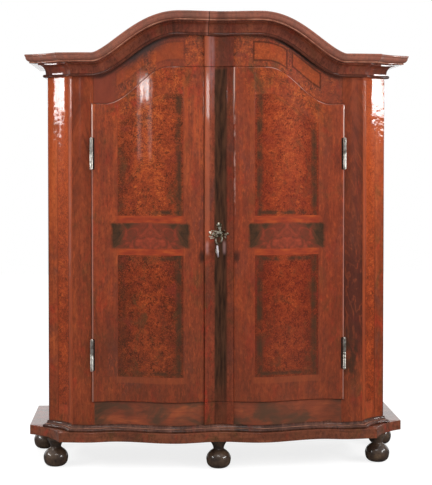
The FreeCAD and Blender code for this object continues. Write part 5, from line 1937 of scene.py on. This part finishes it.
@dataclass
class Studio:
    """Floor, light and camera; the floor's greys are display values."""

    camera_place: tuple[float, float, float] = (-0.3191, -5.9225, 1.5254)
    yaw: float = 0.0542
    pitch: float = 0.0257
    lens: float = 87.55
    shift: Pair = (-0.0012, -0.12)
    white: float = 1.0
    room: float = 0.14
    ceiling: float = 0.45
    fill: float = 0.95
    floor_grey: float = 153.3171
    floor_mirrored: float = 89.0435
    floor_glow: float = 0.80
    reach: float = 9.0

    def world(self) -> None:
        """White background, soft light from all round, and a dimmer room in front of the case."""
        world = bpy.data.worlds.new("studio")
        bpy.context.scene.world = world
        world.use_nodes = True
        tree = Tree(world, "Generated")
        behind, glossy = tree.y.rise(0.35, 0.75), tree.ray("Glossy")
        mirrored = behind * (self.white - self.room) + self.room
        mirrored = mirrored + (1.0 - behind) * tree.z.rise(0.30, 0.80) * (self.ceiling - self.room)
        strength = glossy * mirrored + (1.0 - glossy) * self.fill
        seen = tree.ray("Camera").most(tree.ray("Transmission"))
        strength = seen * self.white + (1.0 - seen) * strength
        background = tree.get("ShaderNodeBackground", 0, {}, {"Color": WHITE, "Strength": strength})
        tree.add("ShaderNodeOutputWorld", {}, {"Surface": background})

    def floor(self) -> None:
        """A pale floor that keeps the shadow."""
        mesh = bpy.data.meshes.new("floor")
        far = self.reach
        mesh.from_pydata([(-far, -far, 0), (far, -far, 0), (far, far, 0), (-far, far, 0)], [], [(0, 1, 2, 3)])
        tree = Tree.material("pale_floor")
        grey = tree.mix(tree.ray("Glossy"), (self.floor_grey,) * 3, (self.floor_mirrored,) * 3)
        diffuse = tree.get("ShaderNodeBsdfDiffuse", 0, {}, {"Color": grey})
        seen = tree.ray("Camera").most(tree.ray("Transmission"))
        glow = tree.get("ShaderNodeEmission", 0, {}, {"Color": WHITE, "Strength": seen * self.floor_glow})
        both = tree.get("ShaderNodeAddShader", 0, {}, {0: diffuse, 1: glow})
        tree.add("ShaderNodeOutputMaterial", {}, {"Surface": both})
        mesh.materials.append(tree.owner)
        show(bpy.data.objects.new("floor", mesh))

    @staticmethod
    def window(name: str, place: tuple[float, ...], target: tuple[float, ...], size: Pair, radiance: float) -> None:
        """One bright window.

        Args:
            name: its name.
            place: its middle.
            target: the point that it faces.
            size: width and height.
            radiance: brightness of its surface.
        """
        light = bpy.data.lights.new(name, "AREA")
        light.shape = "RECTANGLE"
        light.size, light.size_y = size
        light.energy = radiance * math.pi * size[0] * size[1]
        lamp = show(bpy.data.objects.new(name, light))
        lamp.location = place
        lamp.rotation_euler = (Vector(target) - Vector(place)).to_track_quat("-Z", "Y").to_euler()
        lamp.visible_camera = False

    def build(self) -> None:
        """Set up the studio."""
        self.world()
        self.floor()
        for window in (
            ("left_window", (-3.95, -1.32, 2.04), (0.0, -1.32, 2.04), (2.6, 0.38), 22.0),
            ("left_window_foot", (-3.95, -1.05, 1.78), (0.0, -1.05, 1.78), (0.50, 0.16), 12.0),
            ("right_window", (4.0, -2.30, 2.05), (0.0, -2.30, 2.05), (3.6, 0.38), 30.0),
            ("far_window", (-6.86, -10.39, 2.50), (-0.45, -0.25, 2.50), (0.13, 0.28), 26.0),
            ("far_window", (-6.52, -10.39, 2.50), (-0.11, -0.25, 2.50), (0.09, 0.28), 5.0),
            ("far_window_foot", (-6.66, -10.39, 1.90), (-0.25, -0.25, 1.90), (0.30, 0.90), 1.2),
            ("ceiling_light", (-0.3, -3.5, 4.0), (-0.3, -0.25, 1.9), (2.2, 0.35), 12.0),
        ):
            self.window(*window)
        camera = bpy.data.cameras.new("camera")
        camera.sensor_width, camera.clip_end, camera.lens = 36.0, 100.0, self.lens
        camera.shift_x, camera.shift_y = self.shift
        eye = show(bpy.data.objects.new("camera", camera))
        eye.location = self.camera_place
        eye.rotation_euler = (math.pi / 2 - self.pitch, 0.0, -self.yaw)
        bpy.context.scene.camera = eye
        bpy.context.scene.view_settings.view_transform = "Standard"


def main() -> None:
    """Build the cupboard and its studio."""
    logging.basicConfig(level=logging.INFO, format="%(name)s: %(message)s")
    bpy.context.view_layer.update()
    for part in (
        Feet(), Plinth(), Cornice(), BaseMoulding(), Case(), Door("left", -1), Door("right", 1), MiddleStrip(),
        Hinges(), Key(), Escutcheon(), Ironwork(), Studio(),
    ):
        part.build()


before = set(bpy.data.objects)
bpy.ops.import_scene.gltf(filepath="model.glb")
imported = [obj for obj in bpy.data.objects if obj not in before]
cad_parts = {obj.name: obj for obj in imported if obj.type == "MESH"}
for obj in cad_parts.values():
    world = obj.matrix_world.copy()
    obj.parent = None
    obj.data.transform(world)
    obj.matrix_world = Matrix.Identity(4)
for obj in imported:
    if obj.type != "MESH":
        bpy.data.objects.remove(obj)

if __name__ == "__main__":
    main()
